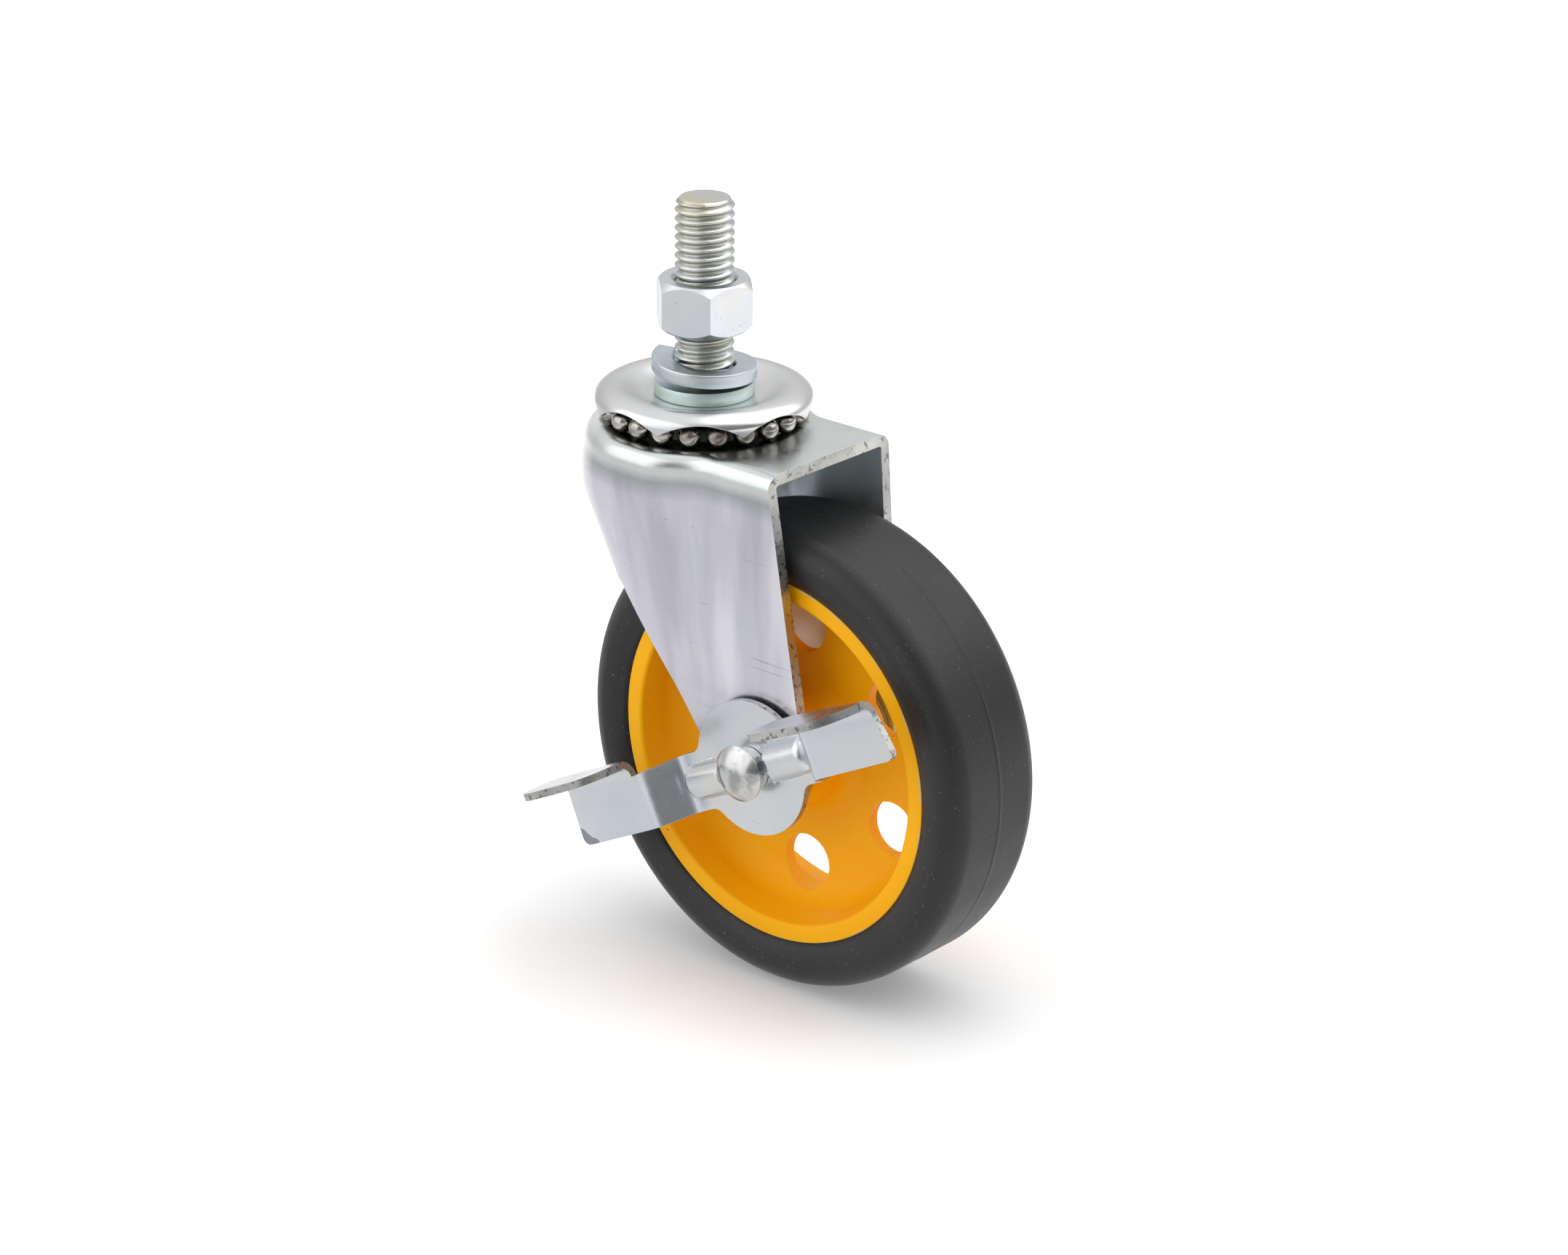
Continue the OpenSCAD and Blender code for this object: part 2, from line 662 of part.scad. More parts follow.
module axle_nut() {
    from = leg_out + face_gap + axle_washer_t;
    corner_r = axle_nut_af / sqrt(3);
    collar_r = axle_nut_af / 2 - 0.6;
    hex_h = 0.72 * axle_nut_h;
    color("silver") at_axle() translate([0, from, 0]) rotate([-90, 0, 0]) difference() {
        union() {
            intersection() {
                cylinder(h = hex_h, r = corner_r, $fn = 6);
                cylinder(h = hex_h, r1 = corner_r, r2 = corner_r - 0.7, $fn = 72);
            }
            cylinder(h = axle_nut_h, r = collar_r, $fn = 72);
        }
        translate([0, 0, -past]) cylinder(h = axle_nut_h + 2 * past, r = axle_r + thread_gap, $fn = 72);
        translate([0, 0, axle_nut_h - 0.6 - insert_w - press_gap])
            cylinder(h = 2 * insert_w, r = insert_r + press_gap, $fn = 72);
    }
}

// Plastic ring held in the end of the locknut
module lock_insert() {
    to = leg_out + face_gap + axle_washer_t + axle_nut_h - 0.6;
    color("royalblue") at_axle() mirror([0, 1, 0])
        ring_across(axle_r + press_gap, insert_r, to - insert_w, to);
}

stem();
lock_washer();
hex_nut();
upper_race_cap();
upper_balls();
lower_balls();
lower_race_cup();
kingpin_washer();
fork();
thrust_washer_near();
thrust_washer_far();
axle_sleeve();
hub_bush_near();
hub_bush_far();
wheel_core();
tyre();
axle_bolt();
brake_lever();
axle_washer();
axle_nut();
lock_insert();
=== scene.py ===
import math
import bmesh
import bpy
import numpy as np
from mathutils import Matrix, Vector


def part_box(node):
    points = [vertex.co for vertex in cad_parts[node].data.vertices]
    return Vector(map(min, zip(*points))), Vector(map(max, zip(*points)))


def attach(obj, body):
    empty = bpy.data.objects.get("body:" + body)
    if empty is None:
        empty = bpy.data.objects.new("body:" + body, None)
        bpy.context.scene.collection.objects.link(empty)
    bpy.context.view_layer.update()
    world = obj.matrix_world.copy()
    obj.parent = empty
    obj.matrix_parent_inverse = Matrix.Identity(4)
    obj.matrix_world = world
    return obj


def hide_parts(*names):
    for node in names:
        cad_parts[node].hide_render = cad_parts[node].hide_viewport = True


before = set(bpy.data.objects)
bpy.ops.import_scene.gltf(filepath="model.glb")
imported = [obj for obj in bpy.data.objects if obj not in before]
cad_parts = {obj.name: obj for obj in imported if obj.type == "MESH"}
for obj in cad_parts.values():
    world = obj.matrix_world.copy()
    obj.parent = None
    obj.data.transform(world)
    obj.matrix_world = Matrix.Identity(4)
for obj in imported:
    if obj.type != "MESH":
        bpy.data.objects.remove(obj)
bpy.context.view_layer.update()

scene = bpy.context.scene

# ---- Camera: fitted to the photograph, whose frame is 2156 x 1725 pixels. It stands 0.88 m from
# the collar, looks down on the brake's side, and leans by half a degree ----
around, above, lean = math.radians(40.668), math.radians(21.919), math.radians(0.55)
focal_pixels, frame_pixels, sensor_width = 5848.446, 2156, 36
eye = Vector((0.558438, -0.623893, 0.281296))
back = Vector((math.sin(around) * math.cos(above), -math.cos(around) * math.cos(above),
               math.sin(above)))
right = Vector((math.cos(around), math.sin(around), 0))
up = Vector((-math.sin(around) * math.sin(above), math.cos(around) * math.sin(above),
             math.cos(above)))
lean_right = math.cos(lean) * right + math.sin(lean) * up
lean_up = -math.sin(lean) * right + math.cos(lean) * up
lens_data = bpy.data.cameras.new("photo_camera")
lens_data.sensor_width = sensor_width
lens_data.lens = focal_pixels * sensor_width / frame_pixels
lens_data.clip_start = 0.05
lens_data.clip_end = 20
lens_data.dof.use_dof = False
camera = bpy.data.objects.new("photo_camera", lens_data)
scene.collection.objects.link(camera)
camera.matrix_world = Matrix.Translation(eye) @ Matrix(
    (lean_right, lean_up, back)).transposed().to_4x4()
scene.camera = camera
scene.view_settings.view_transform = "Standard"

# ---- Stem: one bar of free-cutting steel, turned with its collar and kingpin, its thread
# rolled, all bright zinc plated. The kingpin's end is riveted over the washer below, so the
# stem, the cap and the washers stay still while the fork swivels ----
def linear(code):
    """Linear colour of an sRGB hex code: each channel by the sRGB curve, alpha one."""
    channels = [int(code[i:i + 2], 16) / 255 for i in (0, 2, 4)]
    return [c / 12.92 if c <= 0.04045 else ((c + 0.055) / 1.055) ** 2.4 for c in channels] + [1]


def add_node(tree, kind, inputs, output=0, **settings):
    """Adds a shader node with its settings, sets or links its inputs by name or number, and
    returns an output. Map Range has its value at 0, the range it comes from at 1 and 2 and the
    one it goes to at 3 and 4. A colour Mix has its share at 0 and its colours at 6 and 7."""
    node = tree.nodes.new("ShaderNode" + kind)
    for key, value in settings.items():
        setattr(node, key, value)
    for key, value in inputs.items():
        if isinstance(value, bpy.types.NodeSocket):
            tree.links.new(value, node.inputs[key])
        else:
            node.inputs[key].default_value = value
    return node.outputs[output]


def new_material(name):
    """Starts a material and gives its tree, its shader and the object's own coordinates."""
    material = bpy.data.materials.new(name)
    material.use_nodes = True
    tree = material.node_tree
    return material, tree, tree.nodes["Principled BSDF"], add_node(tree, "TexCoord", {}, "Object")


def zinc_plated(name, plain, cool, warm, rough, warm_above=-1.0):
    """Bright zinc plate on steel. It mirrors the room softly, with cool clouds about 21 mm wide,
    straw ones about 17 mm wide above a height in metres, hairline scratches 22 mm long and
    0.7 mm apart, specks of 0.8 mm, drawn coarser than the real ones so that they show, and edges
    worn round by 0.15 mm."""
    material, tree, shader, place = new_material(name)
    clouds = add_node(tree, "TexNoise", {"Vector": place, "Scale": 1000 / 21, "Detail": 3})
    clouds = add_node(tree, "MapRange", {0: clouds, 1: 0.38, 2: 0.66})
    straw = add_node(tree, "TexNoise", {"Vector": place, "Scale": 1000 / 16.7})
    straw = add_node(tree, "MapRange", {0: straw, 1: 0.48, 2: 0.68, 4: 0.75})
    height = add_node(tree, "SeparateXYZ", {0: place}, 2)
    upper = add_node(tree, "MapRange", {0: height, 1: warm_above, 2: warm_above + 0.004})
    straw = add_node(tree, "Math", {0: straw, 1: upper}, operation="MULTIPLY")
    drawn = add_node(tree, "Mapping", {"Vector": place, "Rotation": (0.5, 0.7, 0.4),
                                       "Scale": (1000 / 22.2, 1000 / 0.667, 1000 / 0.667)})
    scratches = add_node(tree, "TexNoise", {"Vector": drawn, "Scale": 1, "Detail": 1})
    scratches = add_node(tree, "MapRange", {0: scratches, 1: 0.74, 2: 0.79})
    specks = add_node(tree, "TexNoise", {"Vector": place, "Scale": 1000 / 0.833})
    specks = add_node(tree, "MapRange", {0: specks, 1: 0.74, 2: 0.8})
    colour = linear(plain)
    for mask, code in ((clouds, cool), (straw, warm), (scratches, "b2b3b9"), (specks, "9a9892")):
        colour = add_node(tree, "Mix", {0: mask, 6: colour, 7: linear(code)}, 2, data_type="RGBA")
    tree.links.new(colour, shader.inputs["Base Color"])
    shader.inputs["Metallic"].default_value = 1
    wear = add_node(tree, "TexNoise", {"Vector": place, "Scale": 1000 / 6.25, "Detail": 5,
                                       "Roughness": 0.6})
    wear = add_node(tree, "MapRange", {0: wear, 1: 0.3, 2: 0.7, 3: rough * 0.8, 4: rough * 1.25})
    tree.links.new(wear, shader.inputs["Roughness"])
    rounded = add_node(tree, "Bevel", {"Radius": 0.00015}, samples=4)
    grain = add_node(tree, "TexNoise", {"Vector": place, "Scale": 1000 / 0.909, "Detail": 4})
    tree.links.new(add_node(tree, "Bump", {"Strength": 0.03, "Distance": 0.0002, "Height": grain,
                                           "Normal": rounded}), shader.inputs["Normal"])
    return material


def lay_over(material, mask, code):
    """Mixes one more colour over a material's base colour where the mask is one."""
    tree = material.node_tree
    base = tree.nodes["Principled BSDF"].inputs["Base Color"]
    parts = {0: mask, 6: base.links[0].from_socket, 7: linear(code)}
    tree.links.new(add_node(tree, "Mix", parts, 2, data_type="RGBA"), base)


def turn_outwards(mesh):
    """Merges a shell's doubled points and turns every face of it outwards."""
    shell = bmesh.new()
    shell.from_mesh(mesh)
    bmesh.ops.remove_doubles(shell, verts=shell.verts, dist=0.000002)
    bmesh.ops.recalc_face_normals(shell, faces=shell.faces)
    shell.to_mesh(mesh)
    shell.free()


def piece(name, points, faces, body, material, replaces, sharp=None, closed=True):
    """Mesh of a piece from points in millimetres, riding on its body. A closed one is merged and
    turned outwards. It is shaded smooth, but for edges sharper than an angle in degrees."""
    mesh = bpy.data.meshes.new(name)
    mesh.from_pydata((np.asarray(points, float) * 0.001).tolist(), [], faces)
    mesh.update()
    if closed:
        turn_outwards(mesh)
    mesh.shade_smooth()
    if sharp is not None:
        mesh.set_sharp_from_angle(angle=math.radians(sharp))
    obj = bpy.data.objects.new(name, mesh)
    scene.collection.objects.link(obj)
    mesh.materials.append(material)
    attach(obj, body)
    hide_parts(*replaces)
    return obj


def grid_faces(rows, cols, wrap_rows=False, wrap_cols=False, start=0):
    """Quads of a grid of points stored row by row, closed on itself where asked."""
    i, j = np.meshgrid(np.arange(rows if wrap_rows else rows - 1),
                       np.arange(cols if wrap_cols else cols - 1), indexing="ij")
    below, after = (i + 1) % rows, (j + 1) % cols
    quads = np.stack([i * cols + j, i * cols + after, below * cols + after, below * cols + j], -1)
    return (start + quads).reshape(-1, 4).tolist()


def turned(profile, steps, middle=None, closed=True):
    """Points and faces of a profile of (radius, height) carried round Z. With a middle it is
    carried round the axle through that (x, z), and its height runs along -Y."""
    profile = np.asarray(profile, float)
    angle = np.linspace(0, 2 * np.pi, steps, endpoint=False)
    r = profile[:, 0][None, :]
    h = np.broadcast_to(profile[:, 1][None, :], (steps, len(profile)))
    x, y = r * np.cos(angle)[:, None], r * np.sin(angle)[:, None]
    if middle is None:
        points = np.stack([x, y, h], -1)
    else:
        points = np.stack([middle[0] + x, -h, middle[1] + y], -1)
    return points.reshape(-1, 3), grid_faces(steps, len(profile), True, closed)


def arc(cx, cy, r, start, end, n):
    """Points on a circle of radius r round (cx, cy), between two angles in degrees."""
    a = np.radians(np.linspace(start, end, n))
    return list(zip(cx + r * np.cos(a), cy + r * np.sin(a)))


def rows_round(rows, angle):
    """Points of rows carried round Z: each row is a radius and a height, which may vary with the
    angle."""
    return np.stack([np.stack(np.broadcast_arrays(r * np.cos(angle), r * np.sin(angle), z), -1)
                     for r, z in rows]).reshape(-1, 3)


# Zinc-plated turned steel: brighter crests over roots darkened with painted shade, straw on the
# thread, and a duller, greener collar
stem_zinc = zinc_plated("zinc_plated_turned_stem", "cdcfcc", "c3cccb", "d9cda6", 0.24, 0.002)
tree = stem_zinc.node_tree
place = add_node(tree, "TexCoord", {}, "Object")
height = add_node(tree, "SeparateXYZ", {0: place}, 2)
flat_place = add_node(tree, "VectorMath", {0: place, 1: (1, 1, 0)}, operation="MULTIPLY")
radius = add_node(tree, "VectorMath", {0: flat_place}, "Value", operation="LENGTH")
above_collar = add_node(tree, "MapRange", {0: height, 1: -0.0001, 2: 0.0001})
# Painted shade: the thread's roots are darkened, from the collar up to the tip
root_shade = add_node(tree, "MapRange", {0: radius, 1: 0.0055, 2: 0.0060, 3: 0.5, 4: 0})
root_shade = add_node(tree, "Math", {0: root_shade, 1: above_collar}, operation="MULTIPLY")
below_tip = add_node(tree, "MapRange", {0: height, 1: 0.0386, 2: 0.0388, 3: 1, 4: 0})
root_shade = add_node(tree, "Math", {0: root_shade, 1: below_tip}, operation="MULTIPLY")
lay_over(stem_zinc, root_shade, "8c8a7c")
lay_over(stem_zinc, add_node(tree, "MapRange", {0: above_collar, 3: 0.8, 4: 0}), "c9dad6")
roughness = tree.nodes["Principled BSDF"].inputs["Roughness"]
duller = add_node(tree, "MapRange", {0: above_collar, 3: 0.2, 4: 0})
duller = add_node(tree, "Math", {0: roughness.links[0].from_socket, 1: duller}, operation="ADD")
tree.links.new(duller, roughness)

stem_tip, collar_h, collar_r, crest_r, root_r, pitch = 39.0, 2.9, 10.5, 6.25, 5.42, 1.954
kingpin_r, rivet_r, rivet_h, tip_h, tip_slope = 6.0, 8.4, 2.2, 1.2, 0.95
root_flat, flank, rounded, rows_a_turn, sides = 0.12, 0.8, 0.35, 14, 96
# The thread: its radius is a wave from root to crest of the height less the angle, both in turns,
# and the crests run out on the bevelled tip
rows = np.arange(0.0, stem_tip - 0.05, pitch / rows_a_turn)
turn = np.linspace(0, 2 * np.pi, sides, endpoint=False)
phase = (rows[:, None] / pitch - turn[None, :] / (2 * np.pi)) % 1.0
wave = np.clip((np.abs(phase - 0.5) * 2 - root_flat) / flank, 0, 1)
wave = wave * wave * (3 - 2 * wave) * rounded + wave * (1 - rounded)
run_out = crest_r - np.maximum(0, rows[:, None] - stem_tip + tip_h) * tip_slope
thread_r = np.minimum(root_r + (crest_r - root_r) * wave, run_out)
rim_r = crest_r - tip_h * tip_slope - 0.1
levels = list(zip(thread_r, rows)) + [(rim_r, stem_tip), (0.93 * rim_r, stem_tip)]
points = rows_round(levels, turn)
faces = grid_faces(len(levels), sides, False, True)
faces.append(list(range(len(points) - sides, len(points))))
# From just inside the thread's root: the collar, the kingpin and its riveted end
rivet_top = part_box("kingpin_washer")[0][2] * 1000
rivet_low = rivet_top - rivet_h
dome_r = (rivet_r ** 2 + rivet_h ** 2) / (2 * rivet_h)
span = math.degrees(math.asin(rivet_r / dome_r))
bar = [(5.4, 0), (collar_r - 0.35, 0), (collar_r - 0.1, -0.1), (collar_r, -0.35),
       (collar_r, -collar_h + 0.2), (collar_r - 0.2, -collar_h), (kingpin_r, -collar_h),
       (kingpin_r, rivet_top)]
bar += arc(0, rivet_low + dome_r, dome_r, -90 + span, -90, 12)[:-1] + [(0.01, rivet_low)]
bar_points, bar_faces = turned(bar, sides, closed=False)
faces += (np.array(bar_faces) + len(points)).tolist()
points = np.vstack([points, bar_points])
piece("threaded_stem", points, faces, "mount", stem_zinc, ["stem"], 40)

# ---- Hexagon nut: cold-forged half-inch steel nut, both faces chamfered, zinc plated.
# It is screwed loosely on the stem and clamps the castor to what it carries ----
# Zinc plate on forged steel: cool white, and rough enough to blur what it mirrors
nut_zinc = zinc_plated("zinc_plated_forged_nut", "d6d8dc", "cbd0da", "dedad0", 0.27)


def hexagon(angle, flat, rounding):
    """Radius of a hexagon at each angle: a flat's distance over the cosine of the angle off its
    middle, or the circle in the rounded corner where that is less."""
    off = (angle + np.pi / 6) % (np.pi / 3) - np.pi / 6
    straight = flat / np.cos(np.pi / 6 - np.abs(off))
    reach = (flat - rounding) / math.cos(math.pi / 6)
    inside = rounding ** 2 - (reach * np.sin(off)) ** 2
    rounded = reach * np.cos(off) + np.sqrt(np.maximum(inside, 0))
    return np.where(inside > 0, np.minimum(straight, rounded), straight)


nut_low, nut_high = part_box("hex_nut")
nut_z, nut_top = nut_low[2] * 1000, nut_high[2] * 1000
half_flats, corner_round, nut_turn = 9.4, 0.25, 18
face_r, bore_r, slope, lead_r, lead_h = 9.1, 6.3, 0.95, 0.7, 0.8
angle = np.linspace(0, 2 * np.pi, 360, endpoint=False)
side = hexagon(angle - math.radians(nut_turn), half_flats, corner_round)
drop = (side - face_r) * slope
levels = [(bore_r, nut_z + lead_h), (bore_r + lead_r, nut_z), (face_r, nut_z),
          (side, nut_z + drop), (side, nut_top - drop), (face_r, nut_top),
          (bore_r + lead_r, nut_top), (bore_r, nut_top - lead_h)]
piece("hexagon_nut", rows_round(levels, angle), grid_faces(len(levels), 360, True, True), "nut",
      nut_zinc, ["hex_nut"], 25)

# ---- Spring washer: square spring-steel wire coiled once, cut and hardened, zinc plated.
# It lies loose on the collar with one end sprung up ----
# Zinc plate on drawn spring wire: bluer and duller than the collar under it
washer_zinc = zinc_plated("zinc_plated_spring_wire", "c3ccd4", "b3c3cc", "cdd0cf", 0.28)
inner_r, outer_r, wire, corner, steps = 6.6, 11.0, 3.1, 0.35, 170
first, sweep, slant, sprung, climb = -150, 351, math.radians(17), 2.5, 2.3
# The wire's lift is a power of what is left of the turn. It is cut on a slant, so its upper edge
# starts and ends 17 degrees before its lower one
u = np.linspace(0, 1, steps)
lift = sprung * (1 - u) ** climb + 0.03
section = (arc(outer_r - corner, corner, corner, -90, 0, 4)
           + arc(outer_r - corner, wire - corner, corner, 0, 90, 4)
           + arc(inner_r + corner, wire - corner, corner, 90, 180, 4)
           + arc(inner_r + corner, corner, corner, 180, 270, 4))
girth = len(section)
across_wire, up_wire = np.array(section).T
angle = np.radians(first + sweep * u)[:, None] - slant * up_wire / wire
points = np.stack([across_wire * np.cos(angle), across_wire * np.sin(angle),
                   up_wire + lift[:, None]], -1).reshape(-1, 3)
faces = grid_faces(steps, girth, False, True)
faces += [list(range(girth))[::-1], list(range((steps - 1) * girth, steps * girth))]
piece("spring_washer", points, faces, "mount", washer_zinc, ["lock_washer"], 40)

# ---- Upper race cap: one steel pressing, dished under the collar, with a round crown and a
# skirt cut in scallops so that the balls show. It is clamped on the kingpin ----
# Zinc plate on a drawn pressing: smooth and neutral, it mirrors the room the most clearly
cap_zinc = zinc_plated("zinc_plated_drawn_cap", "d9d9da", "cdd2d3", "d8d6ce", 0.22)
ball_r, race_gap, upper_r, upper_z, cap_sheet = 2.38, 0.3, 19.2, -6.18, 1.2
cap_r = upper_r + ball_r + race_gap + cap_sheet
top_r, crown_z, roll_h = upper_r - 0.6, -0.8, 3.2
dish_r, dish_h, skirt_z = collar_r + 1.6, 2.1, upper_z + 0.5
cap_bore_r, seat_h, edge_round = 6.02, 2.5, 0.15
scallops, scallop_h, first_cusp = 8, 2.9, 17.2


def ease(share):
    """Half a cosine wave that climbs from 0 to 1 with a share of the way, level at both ends."""
    return (1 - np.cos(np.pi * np.clip(share, 0, 1))) / 2


def roll(z, inset):
    """Radius of the rolled crown at a height, a quarter of an ellipse, on its outer face or at an
    inset from it."""
    part = 1 - (crown_z - inset - z) / (roll_h - inset)
    return top_r + (cap_r - inset - top_r) * np.sin(np.arccos(np.clip(part, 0, 1)))


# The skirt's lower edge: arcs of one circle between eight cusps
turn = np.linspace(0, 2 * np.pi, 504, endpoint=False)
pitch_angle = 2 * np.pi / scallops
chord = cap_r * math.sin(pitch_angle / 2)
arch_r = (chord ** 2 + scallop_h ** 2) / (2 * scallop_h)
from_cusp = (turn - math.radians(first_cusp)) % pitch_angle - pitch_angle / 2
edge_z = skirt_z + scallop_h - arch_r + np.sqrt(arch_r ** 2 - (cap_r * np.sin(from_cusp)) ** 2)
# From the bore out over the dish and the crown, down the skirt and back inside
dish = [(dish_r + (top_r - dish_r) * k, -collar_h + dish_h * ease(k))
        for k in np.linspace(0, 1, 22)[1:]]
levels = [(cap_bore_r, -collar_h - seat_h), (cap_bore_r, -collar_h), (dish_r, -collar_h)] + dish
for k in 1 - np.cos(np.linspace(0, np.pi / 2, 26)[1:]):
    z = crown_z + (edge_z + edge_round - crown_z) * k
    levels.append((roll(z, 0), z))
levels += [(roll(edge_z, 0) - edge_round, edge_z), (roll(edge_z, cap_sheet) + edge_round, edge_z)]
for k in 1 - np.cos(np.linspace(np.pi / 2, 0, 14)):
    z = crown_z - cap_sheet + (edge_z + edge_round - crown_z + cap_sheet) * k
    levels.append((roll(z, cap_sheet), z))
levels += [(r, z - cap_sheet) for r, z in dish[-2::-4]] + [(dish_r, -collar_h - seat_h)]
piece("pressed_cap", rows_round(levels, turn), grid_faces(len(levels), len(turn), True, True),
      "mount", cap_zinc, ["upper_race_cap"], 45)

# ---- Bearing balls: hardened steel, dark with grease and dust. The upper ring runs between
# the cap and the fork's crown, the lower one, out of sight, between the crown and its cup ----
# Hardened and ground steel under old grease: sharp glints between brown smears 4 mm wide
ball_steel, tree, shader, place = new_material("greased_hardened_balls")
dirt = add_node(tree, "TexNoise", {"Vector": place, "Scale": 1000 / 4.2, "Detail": 3})
dirt = add_node(tree, "MapRange", {0: dirt, 1: 0.4, 2: 0.62})
colour = add_node(tree, "Mix", {0: dirt, 6: linear("cbc7c2"), 7: linear("8a817a")}, 2,
                  data_type="RGBA")
tree.links.new(colour, shader.inputs["Base Color"])
shader.inputs["Metallic"].default_value = 1
tree.links.new(add_node(tree, "MapRange", {0: dirt, 3: 0.1, 4: 0.28}), shader.inputs["Roughness"])


def ball_ring(name, count, radius, z, first, body, node):
    """One mesh of all the balls in a ring: a unit sphere of latitude and longitude, scaled to the
    ball and set down at equal turns round Z."""
    lats, lons = 17, 28
    lat = np.linspace(0, np.pi, lats)[:, None]
    lon = np.linspace(0, 2 * np.pi, lons, endpoint=False)
    sphere = np.stack([np.sin(lat) * np.cos(lon), np.sin(lat) * np.sin(lon),
                       np.cos(lat) + 0 * lon], -1).reshape(-1, 3) * ball_r
    a = np.radians(first + 360 * np.arange(count) / count)
    middles = np.stack([radius * np.cos(a), radius * np.sin(a), np.full(count, z)], -1)
    points = (middles[:, None, :] + sphere[None, :, :]).reshape(-1, 3)
    faces = [f for k in range(count) for f in grid_faces(lats, lons, False, True, k * len(sphere))]
    return piece(name, points, faces, body, ball_steel, [node])


def finish_cad(material, *names):
    """Gives CAD nodes whose shape is right as it is their own material."""
    for name in names:
        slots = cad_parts[name].data.materials
        slots.clear()
        slots.append(material)


upper_count, first_ball = 21, -108.7
ball_ring("upper_ball_ring", upper_count, upper_r, upper_z, first_ball, "upper_ring",
          "upper_balls")
finish_cad(ball_steel, "lower_balls")

# ---- Lower race: a pressed cup and a washer under the crown, held by the kingpin's riveted
# end. Both are out of sight inside the fork and keep the solids' shape ----
finish_cad(cap_zinc, "lower_race_cup")
finish_cad(washer_zinc, "kingpin_washer")

# ---- Fork: one steel sheet, blanked, deep drawn round the bearing and folded into two legs,
# zinc plated. It is modelled as its outer face and given its thickness inwards ----
# Zinc-plated rolled sheet: lilac-white, with soft upright streaks from the rolling and an
# olive-black ring round the race under the balls; inside it is duller, with paler, bluer colour as
# painted light, and the sheared edges are grey
fork_zinc = zinc_plated("zinc_plated_pressed_fork", "d6d4de", "cfd0dd", "dcd8da", 0.27)
# Painted light: the inside gets a paler, bluer copy of the fork's zinc
inside_zinc_painted_light = zinc_plated("zinc_plated_fork_inside", "dce2e6", "c8d6de", "d6dade", 0.5)
cut_edge = zinc_plated("sheared_sheet_edge", "bcbcba", "8f9091", "cfcdc6", 0.4)
tree = fork_zinc.node_tree
place = add_node(tree, "TexCoord", {}, "Object")
flat_place = add_node(tree, "VectorMath", {0: place, 1: (1, 1, 0)}, operation="MULTIPLY")
radius = add_node(tree, "VectorMath", {0: flat_place}, "Value", operation="LENGTH")
height = add_node(tree, "SeparateXYZ", {0: place}, 2)
ragged = add_node(tree, "TexNoise", {"Vector": place, "Scale": 1000 / 3.3, "Detail": 3})
ragged = add_node(tree, "MapRange", {0: ragged, 1: 0.3, 2: 0.7, 3: -0.0004, 4: 0.0004})
ragged = add_node(tree, "Math", {0: radius, 1: ragged}, operation="ADD")
ring = add_node(tree, "MapRange", {0: ragged, 1: 0.0211, 2: 0.0220, 3: 0.9, 4: 0})
on_top = add_node(tree, "MapRange", {0: height, 1: -0.0096, 2: -0.0089})
streaks = add_node(tree, "Mapping", {"Vector": place, "Scale": (1000 / 9, 1000 / 17, 1000 / 71)})
streaks = add_node(tree, "TexNoise", {"Vector": streaks, "Scale": 1})
lay_over(fork_zinc, add_node(tree, "MapRange", {0: streaks, 1: 0.52, 2: 0.68, 4: 0.8}), "f0eff4")
lay_over(fork_zinc, add_node(tree, "MapRange", {0: streaks, 1: 0.46, 2: 0.34, 4: 0.7}), "bdbcc6")
# The drawn crown is stretched to a plain silver; the drum's back is painted near white, a painted
# highlight, and a painted dark reflection lies in a band below the bend
crown = add_node(tree, "MapRange", {0: height, 1: -0.0165, 2: -0.0125, 4: 0.85})
lay_over(fork_zinc, crown, "d6dcd9")
# Painted dark reflection: a band just below the bend
below_bend = add_node(tree, "MapRange", {0: height, 1: -0.0185, 2: -0.0148})
above_line = add_node(tree, "MapRange", {0: height, 1: -0.0148, 2: -0.0128, 3: 0.6, 4: 0})
painted_dark_band = add_node(tree, "Math", {0: below_bend, 1: above_line}, operation="MULTIPLY")
lay_over(fork_zinc, painted_dark_band, "8d9392")
# Painted highlight: the drum's back is made near white
along_trail = add_node(tree, "SeparateXYZ", {0: place}, 0)
drum_back_highlight = add_node(tree, "MapRange", {0: along_trail, 1: -0.0105, 2: -0.0165, 4: 0.9})
lay_over(fork_zinc, drum_back_highlight, "fbfcfa")
# Darker, olive-black in a ring round the race, under the balls
race_ring_dark = add_node(tree, "Math", {0: ring, 1: on_top}, operation="MULTIPLY")
lay_over(fork_zinc, race_ring_dark, "45453c")
# The shears leave short dark tears in the cut edge, about 1.2 mm long
tree = cut_edge.node_tree
place = add_node(tree, "TexCoord", {}, "Object")
tears = add_node(tree, "TexNoise", {"Vector": place, "Scale": 1000 / 1.2})
lay_over(cut_edge, add_node(tree, "MapRange", {0: tears, 1: 0.56, 2: 0.66}), "7b7a76")


def thicken(obj, thickness, join, inside=None):
    """Joins a sheet's parts where their points lie within a distance in metres, gives the sheet
    its thickness in millimetres on its inner side, and rounds its rougher cut edge by 0.3 mm."""
    weld = obj.modifiers.new("weld", "WELD")
    weld.merge_threshold = join
    obj.data.materials.append(cut_edge)
    solid = obj.modifiers.new("sheet", "SOLIDIFY")
    solid.thickness = thickness * 0.001
    solid.offset = -1
    solid.use_even_offset = False
    solid.material_offset_rim = 1
    if inside:
        obj.data.materials.append(inside)
        solid.material_offset = 2
    bevel = obj.modifiers.new("edge", "BEVEL")
    bevel.width = 0.0003
    bevel.segments = 3
    bevel.limit_method = "ANGLE"
    bevel.angle_limit = math.radians(50)
    bevel.harden_normals = True


